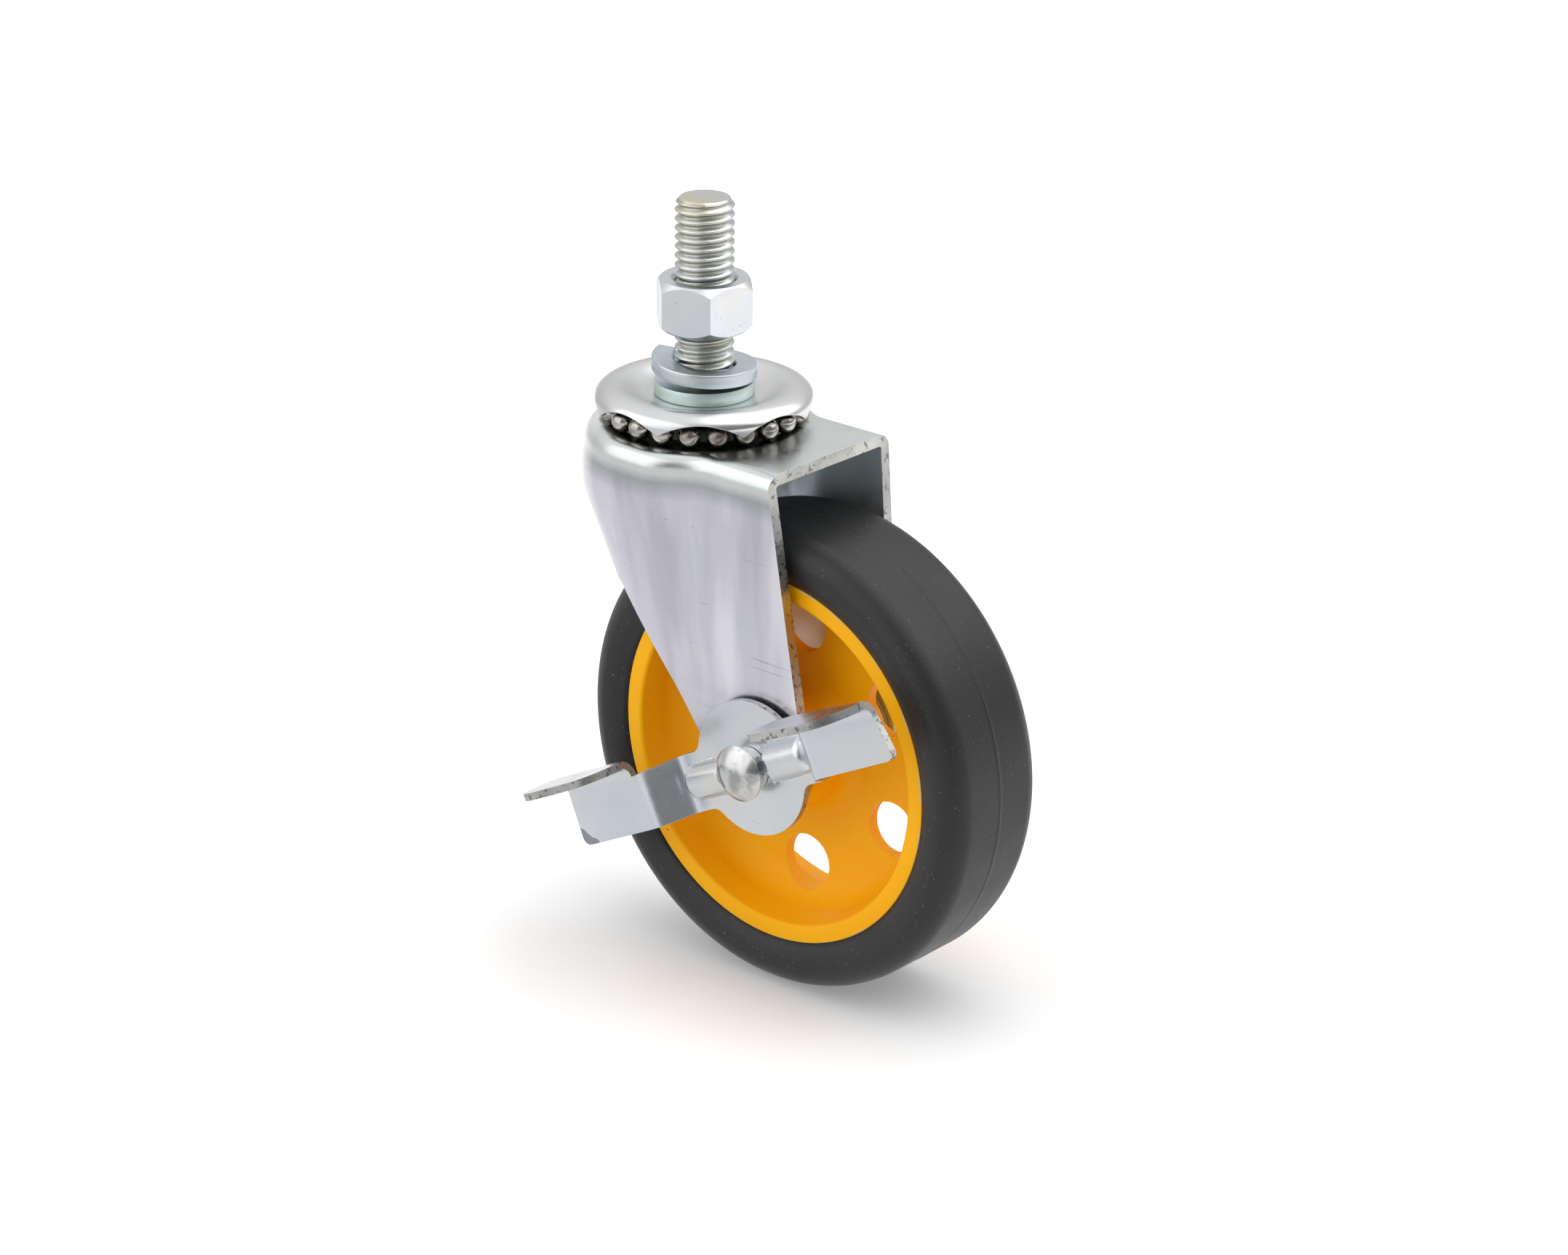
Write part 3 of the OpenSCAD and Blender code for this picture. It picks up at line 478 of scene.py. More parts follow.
trail, sheet, wheel_r, tyre_gap = 29.8, 2.5, 50.8, 11.5
axle_z = (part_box("axle_sleeve")[0][2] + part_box("axle_sleeve")[1][2]) * 500
plate_top = axle_z + wheel_r + tyre_gap + sheet
leg_l, end_r, bend_r, nose_x = plate_top - axle_z, 11.8, 3.3, trail + 4.4
drum_r, crown_half, leg_half, flange_h, skirt_h = cap_r + 1.9, 19.0, 16.0, 34.6, 14.6
swell_from, swell_short, swell_power, fade_from, fade_run = 9.6, 16.8, 1.5, 4, 14
square, square_from, square_run = 0.5, 4, 12
middle_from, middle_slope, back_from, back_slope = 8, 0.17, 12.5, 0.4
open_h, step_h, step_in, arch_half, arch_more, arch_power = 22, 3, 6.5, 15, 1.4, 2.86


def fork_sizes(d):
    """Half width of the legs at a depth below the crown, the drum's swell beyond it, and where the
    drum's middle and back stand: the legs draw in evenly, the swell fades as a power."""
    share = 1 - (d - bend_r) / (leg_l - end_r - bend_r)
    half = leg_half + (crown_half - leg_half) * np.clip(share, 0, 1)
    share = 1 - (d - swell_from) / (leg_l - swell_short)
    swell = (drum_r - crown_half) * np.clip(share, 0, 1) ** swell_power
    middle = middle_slope * max(0, d - middle_from)
    rear = -drum_r + back_slope * max(0, d - back_from)
    return half, swell, middle, rear


def fork_curve(d, inset):
    """Near half of the fork's plan at a depth: a superellipse round the back, squarer further
    down, then the leg, whose bulge eases away ahead."""
    half, swell, middle, rear = fork_sizes(d)
    half = half - inset
    long = middle - rear - inset
    power = 2 / (2 + square * np.clip((d - square_from) / square_run, 0, 1))
    a = np.linspace(0, np.pi / 2, 260)
    x = middle - long * np.cos(a) ** power
    y = -(half + swell) * np.sin(a) ** power
    along = np.linspace(0.1, 60, 400)
    x = np.append(x, middle + along)
    y = np.append(y, -half - swell * (1 - ease((along - fade_from) / fade_run)))
    return x, y


def touch(px, pz, side):
    """Angle at which a straight edge from a point meets the leg's round end as a tangent."""
    dx, dz = px - trail, pz - axle_z
    return math.atan2(dz, dx) + side * math.acos(end_r / math.hypot(dx, dz))


brow = (nose_x, plate_top - bend_r)
foot = (-7.5, plate_top - flange_h)
front_turn, rear_turn = touch(*brow, -1), touch(*foot, 1)
front_touch = (trail + end_r * math.cos(front_turn), axle_z + end_r * math.sin(front_turn))
rear_touch = (trail + end_r * math.cos(rear_turn), axle_z + end_r * math.sin(rear_turn))


def front_x(z):
    """Front edge of a leg at a height: upright, then straight to the round end, then its arc."""
    if z >= brow[1]:
        return nose_x
    if z >= front_touch[1]:
        return brow[0] + (front_touch[0] - brow[0]) * (brow[1] - z) / (brow[1] - front_touch[1])
    return trail + math.sqrt(max(0, end_r ** 2 - (z - axle_z) ** 2))


def rear_x(z):
    """Rear edge of a leg at a height: open above, a stepped corner, then straight to the arc."""
    if z >= plate_top - open_h:
        return -99
    if z >= foot[1] + step_h:
        return np.interp(-z, [open_h - plate_top, -foot[1] - step_h],
                         [-drum_r - 1, foot[0] - step_in])
    if z >= foot[1]:
        return np.interp(-z, [-foot[1] - step_h, -foot[1]], [foot[0] - step_in, foot[0]])
    if z >= rear_touch[1]:
        return np.interp(-z, [-foot[1], -rear_touch[1]], [foot[0], rear_touch[0]])
    return trail - math.sqrt(max(0, end_r ** 2 - (z - axle_z) ** 2))


def arch_y(d):
    """Half width of the arch cut in the drum's back, a power curve from the skirt down."""
    share = max(0, d - skirt_h) / (flange_h - skirt_h + arch_more)
    return min(arch_half, arch_half * share ** (1 / arch_power))


# Rows of the sheet, each at a depth and an inset: round the crown's bend, down the skirt, past
# the flange's foot, down the legs and round their ends, closer where the outline turns
bend_turn = np.linspace(np.pi / 2, 0, 9)
depths = [(bend_r * (1 - math.sin(t)), bend_r * (1 - math.cos(t))) for t in bend_turn]
depths += [(d, 0) for d in np.linspace(bend_r, skirt_h, 14)[1:]]
depths += [(skirt_h + (flange_h + 4 - skirt_h) * t ** 1.6, 0) for t in np.linspace(0, 1, 46)[1:]]
depths += [(d, 0) for d in np.linspace(flange_h + 4, leg_l - 4, 30)[1:]]
end_turn = np.linspace(0, np.pi / 2, 20)[1:-1]
depths += [(leg_l - 4 + (end_r + 4) * math.sin(t), 0) for t in end_turn]
# Each row of the near half starts where the arch or the leg's rear edge cuts it, ends at the
# leg's front edge, and is spread evenly along its length
across = 110
half_rows = []
for d, inset in depths:
    x, y = fork_curve(d, inset)
    z = plate_top - d
    begin = int(np.argmax((-y >= arch_y(d)) & (x >= rear_x(z))))
    if begin > 0:
        before, after = begin - 1, begin
        t = 1.0
        for value, limit in ((-y, arch_y(d)), (x, rear_x(z))):
            if value[before] < limit:
                t = min(t, (limit - value[before]) / (value[after] - value[before]))
        x[before] += t * (x[after] - x[before])
        y[before] += t * (y[after] - y[before])
        x, y = x[before:], y[before:]
    stop = front_x(z)
    keep = x < stop
    y_stop = np.interp(stop, x[-300:], y[-300:])
    x, y = np.append(x[keep], stop), np.append(y[keep], y_stop)
    run = np.append(0, np.cumsum(np.hypot(np.diff(x), np.diff(y))))
    at = np.linspace(0, max(run[-1], 1e-3), across)
    half_rows.append(np.stack([np.interp(at, run, x), np.interp(at, run, y),
                               np.full(across, z)], -1))
near = np.vstack(half_rows)
near_faces = np.array(grid_faces(len(half_rows), across))[:, ::-1]
faces = near_faces.tolist() + (len(near) + near_faces[:, ::-1]).tolist()
points = np.vstack([near, near * (1, -1, 1)])
# The crown: from the outline in to the raised middle and the kingpin's hole
side = half_rows[0]
brow_y = np.linspace(side[-1][1], -side[-1][1], 26)[1:-1, None]
outline = np.vstack([side, brow_y * (0, 1, 0) + (nose_x, 0, plate_top),
                     side[:0:-1] * (1, -1, 1)])
bearing = np.unwrap(np.arctan2(outline[:, 1], outline[:, 0]))
steps = ((17.4, 0), (16.4, 0.05), (15.9, 0.3), (14.5, 1.7), (14.0, 1.95), (13.4, 2.0), (6.4, 2.0))
faces += grid_faces(1 + len(steps), len(outline), False, True, len(points))
points = np.vstack([points, outline,
                    rows_round([(r, plate_top + rise) for r, rise in steps], bearing)])
fork = piece("pressed_fork", points, faces, "fork", fork_zinc, ["fork"], closed=False)
thicken(fork, sheet, 0.00002, inside_zinc_painted_light)

# ---- Wheel core: one moulding of yellow-orange polypropylene, with a hub, a web with six round
# holes and a deep rim whose lips hold the tyre. It turns on nylon bushes and a steel sleeve ----
# Moulded polypropylene: satin, lets a little light in, with a few dark specks and a ragged pale
# line of tyre flash round the lip
core_plastic, tree, shader, place = new_material("moulded_orange_polypropylene")
tone = add_node(tree, "TexNoise", {"Vector": place, "Scale": 1000 / 33, "Detail": 3})
tone = add_node(tree, "MapRange", {0: tone, 1: 0.35, 2: 0.65})
colour = add_node(tree, "Mix", {0: tone, 6: linear("ffb804"), 7: linear("fcb002")}, 2,
                  data_type="RGBA")
tree.links.new(colour, shader.inputs["Base Color"])
specks = add_node(tree, "TexNoise", {"Vector": place, "Scale": 1000 / 1.92, "Detail": 1})
lay_over(core_plastic, add_node(tree, "MapRange", {0: specks, 1: 0.815, 2: 0.83}), "6b3f10")
from_axle = add_node(tree, "VectorMath", {0: place, 1: (-trail / 1000, 0, -axle_z / 1000)},
                     operation="ADD")
from_axle = add_node(tree, "VectorMath", {0: from_axle, 1: (1, 0, 1)}, operation="MULTIPLY")
radius = add_node(tree, "VectorMath", {0: from_axle}, "Value", operation="LENGTH")
ragged = add_node(tree, "TexNoise", {"Vector": place, "Scale": 1000 / 3.85, "Detail": 4,
                                     "Roughness": 0.7})
ragged = add_node(tree, "MapRange", {0: ragged, 1: 0.4, 2: 0.65, 3: -0.0003, 4: 0.0003})
ragged = add_node(tree, "Math", {0: radius, 1: ragged}, operation="ADD")
flash = add_node(tree, "MapRange", {0: ragged, 1: 0.0401, 2: 0.0403, 4: 0.85})
lay_over(core_plastic, flash, "cfc592")
satin = add_node(tree, "TexNoise", {"Vector": place, "Scale": 1000 / 1.43, "Detail": 3})
satin = add_node(tree, "MapRange", {0: satin, 1: 0.3, 2: 0.7, 3: 0.42, 4: 0.56})
tree.links.new(satin, shader.inputs["Roughness"])
shader.inputs["Specular IOR Level"].default_value = 0.2
shader.inputs["Subsurface Weight"].default_value = 0.12
shader.inputs["Subsurface Radius"].default_value = (0.003, 0.0015, 0.0004)
grain = add_node(tree, "TexNoise", {"Vector": place, "Scale": 1000 / 1.11})
tree.links.new(add_node(tree, "Bump", {"Strength": 0.08, "Distance": 0.0002, "Height": grain}),
               shader.inputs["Normal"])

lip_r, lip_w, lip_y, hub_r, hub_y, web_y, bore_r = 40.4, 4.0, 12.5, 11.5, 11.59, 1.3, 8.06
hub_round, hub_draft, hub_fillet, rim_fillet, rim_draft = 0.6, 0.6, 4.0, 6.5, 1.2
lip_round, lip_edge = 0.9, 0.4
holes, hole_r, hole_circle_r, first_hole, hole_steps, cut_y = 6, 6, 26.7, 32, 64, 3.5
lip_in = lip_r - lip_w
web_r = lip_in - rim_draft - rim_fillet
half = [(bore_r, hub_y)] + arc(hub_r - hub_round, hub_y - hub_round, hub_round, 90, 0, 5)
half += arc(hub_r + hub_draft + hub_fillet, web_y + hub_fillet, hub_fillet, 180, 270, 14)
half += arc(web_r, web_y + rim_fillet, rim_fillet, 270, 360, 18)
half += arc(lip_in + lip_round, lip_y - lip_round, lip_round, 180, 90, 10)
half += arc(lip_r - lip_edge, lip_y - lip_edge, lip_edge, 90, 0, 5)
profile = half + [(r, -h) for r, h in reversed(half)]
points, faces = turned(profile, 256, (trail, axle_z))
core = piece("wheel_moulding", points, faces, "wheel", core_plastic,
             ["wheel_core"])
# The web's holes: six round plugs on one circle, cut out of the moulding
a = np.radians(first_hole + 360 / holes * np.arange(holes))[:, None, None]
t = np.linspace(0, 2 * np.pi, hole_steps, endpoint=False)
plugs = np.stack(np.broadcast_arrays(
    trail + hole_circle_r * np.cos(a) + hole_r * np.cos(t), np.array([-cut_y, cut_y])[:, None],
    axle_z + hole_circle_r * np.sin(a) + hole_r * np.sin(t)), -1).reshape(-1, 3)
plug_faces = []
for start in range(0, len(plugs), 2 * hole_steps):
    end = list(range(start, start + hole_steps))
    plug_faces += grid_faces(2, hole_steps, False, True, start)
    plug_faces += [end[::-1], [hole_steps + k for k in end]]
cutter = bpy.data.meshes.new("hole_cutter")
cutter.from_pydata((plugs * 0.001).tolist(), [], plug_faces)
turn_outwards(cutter)
cutter_obj = bpy.data.objects.new("hole_cutter", cutter)
scene.collection.objects.link(cutter_obj)
cut = core.modifiers.new("holes", "BOOLEAN")
cut.object = cutter_obj
cut.solver = "EXACT"
bpy.context.view_layer.update()
cut_core = core.evaluated_get(bpy.context.evaluated_depsgraph_get())
cut_mesh = bpy.data.meshes.new_from_object(cut_core)
core.modifiers.clear()
core.data = cut_mesh
core.data.set_sharp_from_angle(angle=math.radians(35))
bpy.data.objects.remove(cutter_obj)

# ---- Hub bearing: two flanged bushes of white nylon on a turned steel sleeve, with a thrust
# washer at each leg. All are out of sight in the hub and keep the solids' shape ----
# Moulded nylon: milky white and matt
bush_nylon, tree, shader, place = new_material("moulded_white_nylon")
shader.inputs["Base Color"].default_value = linear("d9d6cc")
shader.inputs["Roughness"].default_value = 0.5
# Turned steel left bare and oiled: darker and warmer than the plate
oiled_steel = zinc_plated("oiled_turned_steel", "8a8a8c", "7c7d80", "8a837a", 0.3)
finish_cad(bush_nylon, "hub_bush_near", "hub_bush_far")
finish_cad(oiled_steel, "axle_sleeve")
finish_cad(washer_zinc, "thrust_washer_near", "thrust_washer_far")

# ---- Tyre: soft grey rubber moulded round the core, with a square tread, round shoulders
# and a fine parting line round the middle where the mould's halves met ----
# Moulded rubber: dull charcoal with pale dust specks, drawn at 0.6 mm so that they show
rubber, tree, shader, place = new_material("moulded_charcoal_rubber")
tone = add_node(tree, "TexNoise", {"Vector": place, "Scale": 1000 / 45, "Detail": 3})
tone = add_node(tree, "MapRange", {0: tone, 1: 0.35, 2: 0.65})
colour = add_node(tree, "Mix", {0: tone, 6: linear("252526"), 7: linear("1f2021")}, 2,
                  data_type="RGBA")
tree.links.new(colour, shader.inputs["Base Color"])
specks = add_node(tree, "TexNoise", {"Vector": place, "Scale": 1000 / 0.588, "Roughness": 0.4})
lay_over(rubber, add_node(tree, "MapRange", {0: specks, 1: 0.7, 2: 0.78}), "5c5d5e")
across_tread = add_node(tree, "SeparateXYZ", {0: place}, 1)
across_tread = add_node(tree, "Math", {0: across_tread}, operation="ABSOLUTE")
parting = add_node(tree, "MapRange", {0: across_tread, 1: 0.00009, 2: 0.00018, 3: 0.85, 4: 0})
lay_over(rubber, parting, "161617")
dull = add_node(tree, "TexNoise", {"Vector": place, "Scale": 1000 / 11, "Detail": 4})
dull = add_node(tree, "MapRange", {0: dull, 1: 0.3, 2: 0.7, 3: 0.38, 4: 0.46})
tree.links.new(dull, shader.inputs["Roughness"])
shader.inputs["Specular IOR Level"].default_value = 0.38
grain = add_node(tree, "TexNoise", {"Vector": place, "Scale": 1000 / 0.77, "Detail": 4})
tree.links.new(add_node(tree, "Bump", {"Strength": 0.25, "Distance": 0.0002, "Height": grain}),
               shader.inputs["Normal"])

tread_r, parting_r, tyre_half, shoulder, shoulder_turn = 50.74, wheel_r - 0.01, 14, 5.2, 84
half = [(lip_r + 0.05, lip_y), (lip_r + 1.0, lip_y + 0.35), (lip_r + 2.2, tyre_half - 0.4)]
half += arc(tread_r - shoulder, tyre_half - shoulder, shoulder, shoulder_turn, 0, 30)
half += [(tread_r, h) for h in (7, 5, 3, 1, 0.3)] + [(parting_r, 0.15), (wheel_r, 0)]
profile = half + [(r, -h) for r, h in reversed(half[:-1])]
points, faces = turned(profile, 288, (trail, axle_z))
piece("soft_tyre", points, faces, "wheel", rubber, ["tyre"])

# ---- Axle bolt: cold-headed steel, with a low dome over the lever and a neck that lets it rock.
# On the far leg a washer and a locknut with a blue nylon ring hold it ----
# Zinc plate on a headed dome: bright, with dull marks about 5 mm wide
bolt_zinc = zinc_plated("zinc_plated_headed_bolt", "cfcfcd", "c4c6c8", "d4d0c8", 0.2)
tree = bolt_zinc.node_tree
place = add_node(tree, "TexCoord", {}, "Object")
marks = add_node(tree, "TexNoise", {"Vector": place, "Scale": 1000 / 4.76, "Detail": 4,
                                    "Roughness": 0.6})
lay_over(bolt_zinc, add_node(tree, "MapRange", {0: marks, 1: 0.5, 2: 0.62, 4: 0.75}), "97989a")
# Moulded nylon dyed blue, matt
insert_nylon, tree, shader, place = new_material("moulded_blue_nylon")
shader.inputs["Base Color"].default_value = linear("4a6fb0")
shader.inputs["Roughness"].default_value = 0.5
finish_cad(washer_zinc, "axle_washer")
finish_cad(nut_zinc, "axle_nut")
finish_cad(insert_nylon, "lock_insert")

seat_y, head_h, head_r, neck_y, neck_r, shank_r = 21.9, 3.4, 6.05, 18.85, 4.8, 4.0
far_end = -(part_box("axle_bolt")[1][1] * 1000)
head_rim, head_top = 0.7, seat_y + head_h
rise = head_h - head_rim
dome_r = (head_r ** 2 + rise ** 2) / (2 * rise)
span = math.degrees(math.asin(head_r / dome_r))
profile = [(0.01, far_end), (shank_r - 0.5, far_end), (shank_r, far_end + 0.5), (shank_r, neck_y),
           (neck_r, neck_y), (neck_r, seat_y), (head_r - 0.4, seat_y),
           (head_r - 0.05, seat_y + 0.25)]
profile += arc(0, head_top - dome_r, dome_r, 90 - span * 0.99, 90, 20)[:-1] + [(0.01, head_top)]
points, faces = turned(profile, 96, (trail, axle_z), False)
piece("domed_bolt", points, faces, "fork", bolt_zinc, ["axle_bolt"], 35)

# ---- Brake lever: one stamping of zinc-plated steel. A flat disc lies under the bolt's head, a
# rib stiffens both arms, and each arm steps out to a pedal whose upper edge turns outwards into
# a foot pad. It is modelled as its front face and given its thickness ----
# Zinc-plated stamped sheet: cool white, worn to bare grey at one lower corner
lever_zinc = zinc_plated("zinc_plated_stamped_lever", "d7dade", "cdd3da", "dcdad6", 0.26)
tree = lever_zinc.node_tree
place = add_node(tree, "TexCoord", {}, "Object")
diagonal = add_node(tree, "VectorMath", {0: place, 1: (0.437, 0, 1.345)}, "Value",
                    operation="DOT_PRODUCT")
ragged = add_node(tree, "TexNoise", {"Vector": place, "Scale": 1000 / 2.86})
ragged = add_node(tree, "MapRange", {0: ragged, 1: 0.3, 2: 0.7, 3: -0.0005, 4: 0.0005})
ragged = add_node(tree, "Math", {0: diagonal, 1: ragged}, operation="ADD")
worn = add_node(tree, "MapRange", {0: ragged, 1: -0.1349, 2: -0.1347, 3: 1, 4: 0})
lay_over(lever_zinc, worn, "9496a0")

lever_t, lever_back, lever_w, lever_l, bend_s, bend, out = 1.6, 17.1, 12.6, 94.0, 17.5, 3.2, 8.0
riser, disc_r, fillet, tilt = math.radians(62), 14.6, 3.0, math.radians(27)
pad_bend, pad_h, pad_out, pad_middle, pad_half = 2.4, 9.6, 25.6, 35.5, 12.0
pad_twist, twist_s, tip_power, root_power = 0.045, 24.0, 3.4, 4.4
pedal_rise, end_round, front_slant, rear_slant = 1.7, 2.0, 0.16, 0.05
rib_w, rib_h, rib_l, rib_round, land, land_run = 4.0, 3.2, 18.6, 2.4, 6.2, 0.9
straight = (out - (2 * bend + lever_t) * (1 - math.cos(riser))) / math.sin(riser)
pedal_s = bend_s + (2 * bend + lever_t) * math.sin(riser) + straight * math.cos(riser)
half_w = lever_w / 2
reach = math.sqrt((disc_r + fillet) ** 2 - (half_w + fillet) ** 2)
meet = math.atan2(half_w + fillet, reach)
pad_root, pad_l = pad_h - pad_bend - lever_t, pad_out - out - lever_t - pad_bend
rib_end = rib_l - rib_round
rib_r = (rib_w ** 2 + rib_h ** 2) / (2 * rib_h)


def half_height(s):
    """Half height of the flat stamping at a distance along it: the disc's circle, a fillet's
    circle, then the arm's straight edge."""
    s = np.abs(s)
    disc = np.sqrt(np.maximum(0, disc_r ** 2 - s ** 2))
    neck = half_w + fillet - np.sqrt(np.maximum(0, fillet ** 2 - (reach - s) ** 2))
    return np.select([s < disc_r * math.cos(meet), s < reach], [disc, neck], half_w)


def on_lever(s, o, t):
    """Points of the lever from along, outwards and across, turned by its tilt about the axle."""
    s, o, t = np.broadcast_arrays(s, o, t)
    return np.stack([trail + s * math.cos(tilt) - t * math.sin(tilt), -(lever_back + o),
                     axle_z + s * math.sin(tilt) + t * math.cos(tilt)], -1).reshape(-1, 3)


def rib_rise(s, t):
    """Rise of the pressed rib over the sheet: a circle across it, rounded off at its ends and
    pressed flat again under the bolt's head."""
    beyond = np.maximum(0, np.abs(s) - rib_end) * rib_w / rib_round
    rise = np.sqrt(np.maximum(0, rib_r ** 2 - t ** 2 - beyond ** 2)) - (rib_r - rib_h)
    return np.maximum(0, rise) * np.clip((np.hypot(s, t) - land) / land_run, 0, 1)


def pedal_end(sign, t, low):
    """Where the pedal's end edge lies at a height: a slanted line with a round lower corner."""
    depth = np.maximum(0, end_round - (t - low))
    cut = end_round - np.sqrt(np.maximum(0, end_round ** 2 - depth ** 2))
    return lever_l / 2 + 0.3 - cut - np.where(sign > 0, front_slant, rear_slant) * (t + 2)


# The front face runs along one arm, over the disc and along the other: flat, out round two bends
# to the pedal, and across it from the lower edge to the upper
flat = np.append(disc_r * 0.85 * np.sin(np.linspace(0, np.pi / 2, 30)),
                 np.linspace(12.6, bend_s, 24))
arm = [(s, lever_t) for s in flat]
arm += arc(bend_s, lever_t + bend, bend, -90, -90 + math.degrees(riser), 14)[1:]
arm += arc(pedal_s, out - bend, bend + lever_t, 90 + math.degrees(riser), 90, 16)
arm += [(s, out + lever_t) for s in np.linspace(pedal_s, lever_l / 2, 30)[1:]]
arm = np.array(arm)
columns = np.vstack([arm[:0:-1] * (-1, 1), arm])
s, o = columns[:, :1], columns[:, 1:]
k = np.linspace(-1, 1, 71)
sign = np.where(s > 0, 1, -1)
step_out = (np.abs(s) - bend_s) / (pedal_s - bend_s)
along = np.clip((np.abs(s) - pedal_s) / (lever_l / 2 - pedal_s), 0, 1)
top = half_height(s) + (pad_root - half_w) * np.clip(step_out, 0, 1)
low = -half_height(s) + np.where(sign > 0, pedal_rise * ease(step_out), 0)
t = (top + low) / 2 + (top - low) / 2 * k
pedal_place = sign * (pedal_s + along * (pedal_end(sign, t, low) - pedal_s))
place_s = np.where(np.abs(s) <= pedal_s, s, pedal_place)
twisted = pad_twist * np.maximum(0, place_s - twist_s) * np.maximum(0, k)
t = t - np.where(sign > 0, twisted, 0)
points = [on_lever(place_s, o + rib_rise(s, t), t)]
faces = [f[::-1] for f in grid_faces(len(columns), len(k))]
# Each pad's outline is a superellipse on each side of its middle, reached from the straight root
pedal = arm[arm[:, 0] >= pedal_s - 1e-6, 0]
bend_o = out + lever_t + pad_bend
a = np.linspace(0, np.pi / 2, 12)
q = np.append(0 * a, np.sin(np.linspace(0, np.pi / 2, 40))[1:])[:, None]
o = np.append(bend_o - pad_bend * np.cos(a), bend_o + q[len(a):, 0] * pad_l)[:, None]
t = np.append(pad_root + pad_bend * np.sin(a), 0 * q[len(a):, 0] + pad_root + pad_bend)[:, None]
for sign in (-1, 1):
    root_share = (pedal - pedal_s) / (lever_l / 2 - pedal_s)
    root_s = pedal_s + root_share * (pedal_end(sign, pad_root, -half_w) - pedal_s)
    beyond = root_s > pad_middle
    power = np.where(beyond, tip_power, root_power)
    share = (root_s - pad_middle) / np.where(beyond, root_s[-1] - pad_middle,
                                             pad_middle - root_s[0])
    full = pad_middle + pad_half * share * np.maximum(0, 1 - q ** power) ** (1 / power)
    s = root_s + (full - root_s) * ease(np.minimum(1, q * 6))
    start = sum(map(len, points))
    points.append(on_lever(sign * s, o, t - (pad_twist * (s - twist_s) if sign > 0 else 0)))
    quads = grid_faces(len(q), len(root_s), start=start)
    faces += quads if sign > 0 else [f[::-1] for f in quads]
points = np.vstack(points)
lever = piece("stamped_lever", points, faces, "brake", lever_zinc, ["brake_lever"],
              closed=False)
thicken(lever, lever_t, 0.00003)

# ---- Floor: white studio paper on a table. The camera sees it lit evenly, less the castor's
# soft shadow, and the metal mirrors it brighter on the far side ----
# Matt coated paper: the glow is seen by camera, transmission and glossy rays alone, so it lights
# nothing; close round the wheel the glow dims and the paper greys, a painted contact shadow
floor_z, floor_half = -0.1242, 6
floor_mesh = bpy.data.meshes.new("floor")
floor_corners = [(x * floor_half, y * floor_half, floor_z)
                 for x, y in ((-1, -1), (1, -1), (1, 1), (-1, 1))]
floor_mesh.from_pydata(floor_corners, [], [(0, 1, 2, 3)])
floor = bpy.data.objects.new("floor", floor_mesh)
scene.collection.objects.link(floor)
paper, tree, shader, place = new_material("matt_white_paper")
rays = add_node(tree, "LightPath", {}).node.outputs
seen = add_node(tree, "Math", {0: rays["Is Camera Ray"], 1: rays["Is Transmission Ray"]},
                operation="ADD", use_clamp=True)
contact = add_node(tree, "VectorMath", {0: place, 1: (-trail / 1000, 0, 0)}, operation="ADD")
away = add_node(tree, "VectorMath", {0: contact}, "Value", operation="LENGTH")
# Painted shadow: the glow the camera sees fades to nothing close to the wheel's contact
near_glow_painted_shadow = add_node(tree, "MapRange", {0: away, 1: 0.01, 2: 0.13, 4: 0.26})
far_glow = add_node(tree, "MapRange", {0: away, 1: 0.12, 2: 0.6, 4: 0.5})
seen_glow = add_node(tree, "Math", {0: near_glow_painted_shadow, 1: far_glow}, operation="ADD")
seen_glow = add_node(tree, "Math", {0: seen_glow, 1: seen}, operation="MULTIPLY")
behind = add_node(tree, "VectorMath", {0: place, 1: (0.35, 0.94, 0)}, "Value",
                  operation="DOT_PRODUCT")
mirrored_glow = add_node(tree, "MapRange", {0: behind, 1: -0.17, 2: 0.17, 3: 0.25, 4: 0.78})
mirrored_glow = add_node(tree, "Math", {0: mirrored_glow, 1: rays["Is Glossy Ray"]},
                         operation="MULTIPLY")
tree.links.new(add_node(tree, "Math", {0: seen_glow, 1: mirrored_glow}, operation="ADD"),
               shader.inputs["Emission Strength"])
# Painted contact shade: the paper greys where the wheel is near
painted_contact_shade = add_node(tree, "AmbientOcclusion", {"Distance": 0.05}, "AO", samples=8)
colour = add_node(tree, "Mix", {0: painted_contact_shade, 6: linear("7c7a78"), 7: linear("f4f4f4")}, 2,
                  data_type="RGBA")
tree.links.new(colour, shader.inputs["Base Color"])
# Painted reflection: the metal mirrors a greyer paper
lay_over(paper, rays["Is Glossy Ray"], "bcbcbc")
shader.inputs["Emission Color"].default_value = (1, 1, 1, 1)
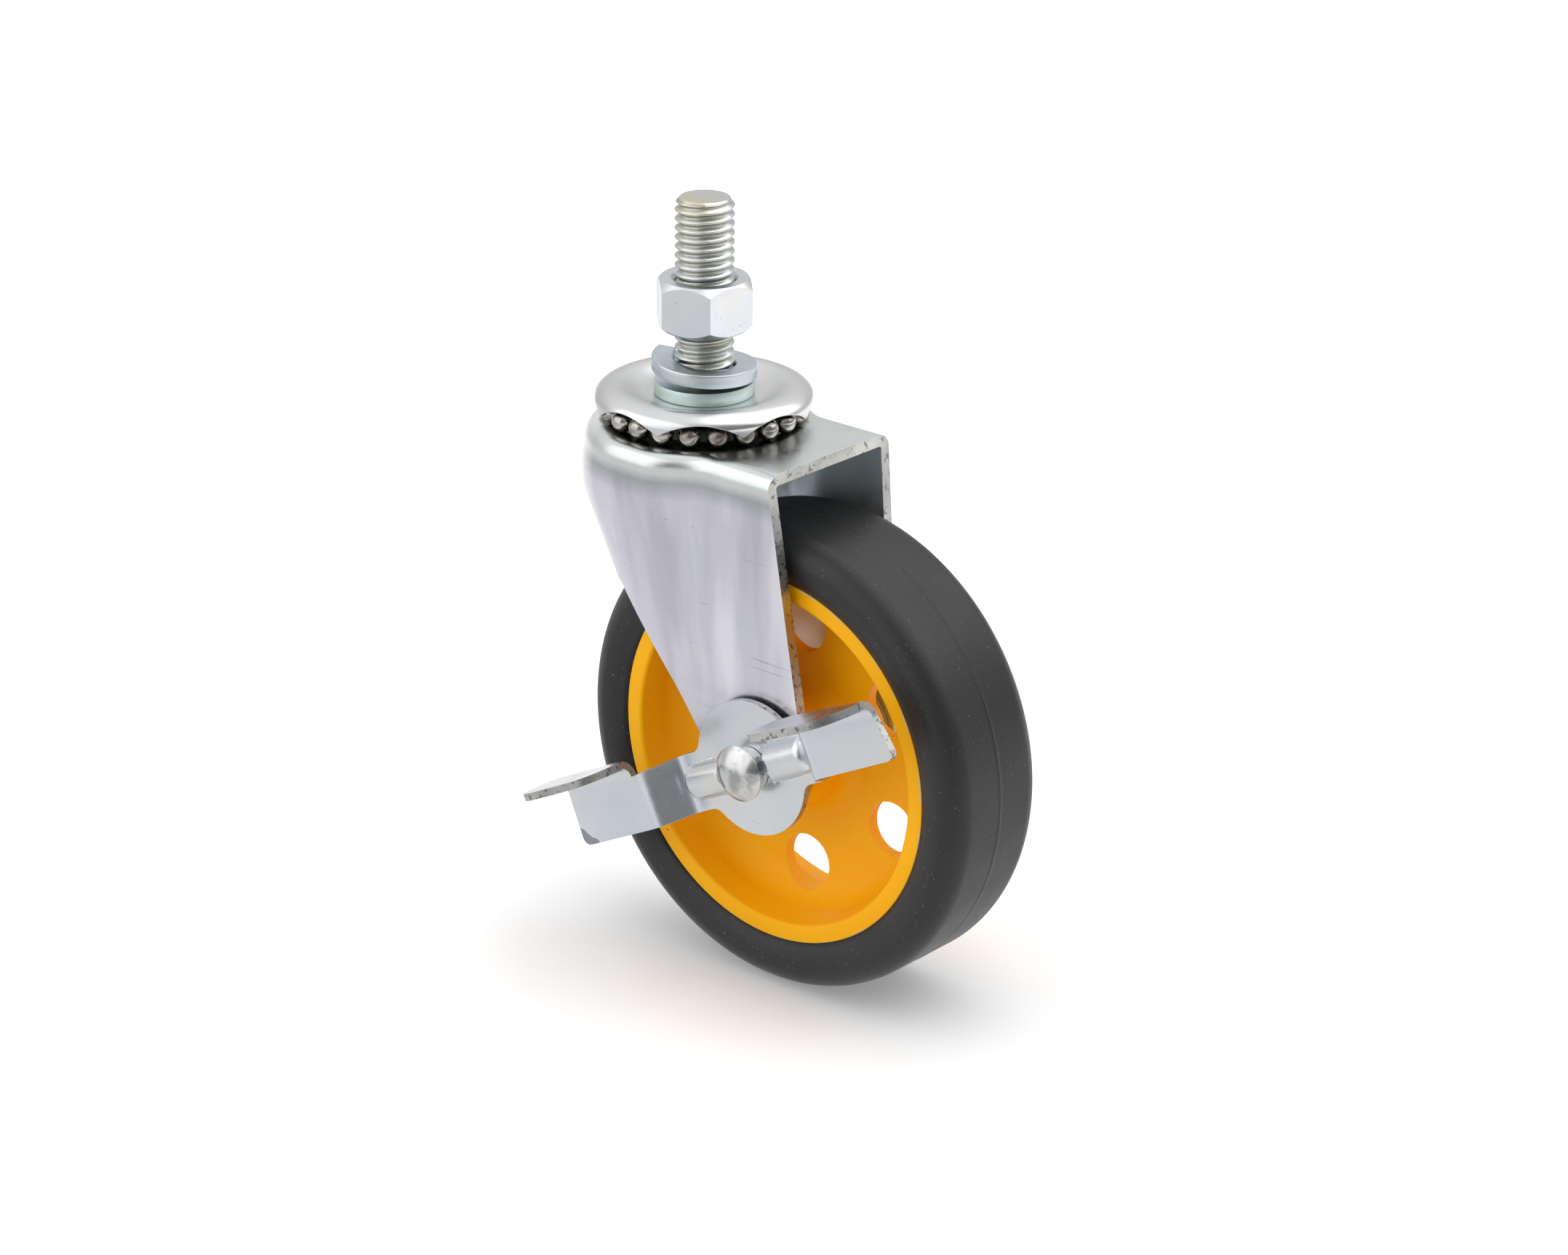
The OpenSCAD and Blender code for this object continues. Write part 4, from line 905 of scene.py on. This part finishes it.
shader.inputs["Roughness"].default_value = 0.9
shader.inputs["Specular IOR Level"].default_value = 0.1
floor_mesh.materials.append(paper)

# ---- Light: an even white room and two large soft panels, one behind to the right and one in
# front to the left. Metal mirrors the room, which is bright overhead, softer towards the
# horizon and darker on the photographer's right ----
world = bpy.data.worlds.new("studio")
scene.world = world
world.use_nodes = True
tree = world.node_tree
rays = add_node(tree, "LightPath", {}).node.outputs
way = add_node(tree, "TexCoord", {}, "Generated")
upward = add_node(tree, "SeparateXYZ", {0: way}, 2)
overhead = add_node(tree, "MapRange", {0: upward, 1: 0.15, 2: 0.8, 3: 0.66, 4: 1.05})
sideways = add_node(tree, "VectorMath", {0: way, 1: (0.9, -0.43, 0)}, "Value",
                    operation="DOT_PRODUCT")
sideways = add_node(tree, "MapRange", {0: sideways, 1: 0.2, 2: 0.8, 3: 1, 4: 0.32})
mirrored = add_node(tree, "Math", {0: overhead, 1: sideways}, operation="MULTIPLY")
seen = add_node(tree, "Math", {0: rays["Is Camera Ray"], 1: rays["Is Transmission Ray"]},
                operation="ADD", use_clamp=True)
plain = add_node(tree, "MapRange", {0: seen, 3: 0.68, 4: 1})
strength = add_node(tree, "Mix", {0: rays["Is Glossy Ray"], 2: plain, 3: mirrored},
                    data_type="FLOAT")
background = tree.nodes["Background"]
background.inputs["Color"].default_value = (1, 1, 1, 1)
tree.links.new(strength, background.inputs["Strength"])


def panel(name, place, aim, size, power):
    """A rectangular softbox of a size in metres at a place, turned towards a point."""
    light = bpy.data.lights.new(name, "AREA")
    light.shape = "RECTANGLE"
    light.size, light.size_y = size
    light.energy = power
    obj = bpy.data.objects.new(name, light)
    scene.collection.objects.link(obj)
    obj.location = place
    obj.rotation_euler = (Vector(aim) - Vector(place)).to_track_quat("-Z", "Y").to_euler()


middle = (0.02, 0, -0.05)
panel("key_panel", (0.5, 0.45, 0.95), middle, (1.6, 1.6), 8)
panel("front_panel", (-0.45, -1.0, 0.5), middle, (2.0, 1.4), 6.5)
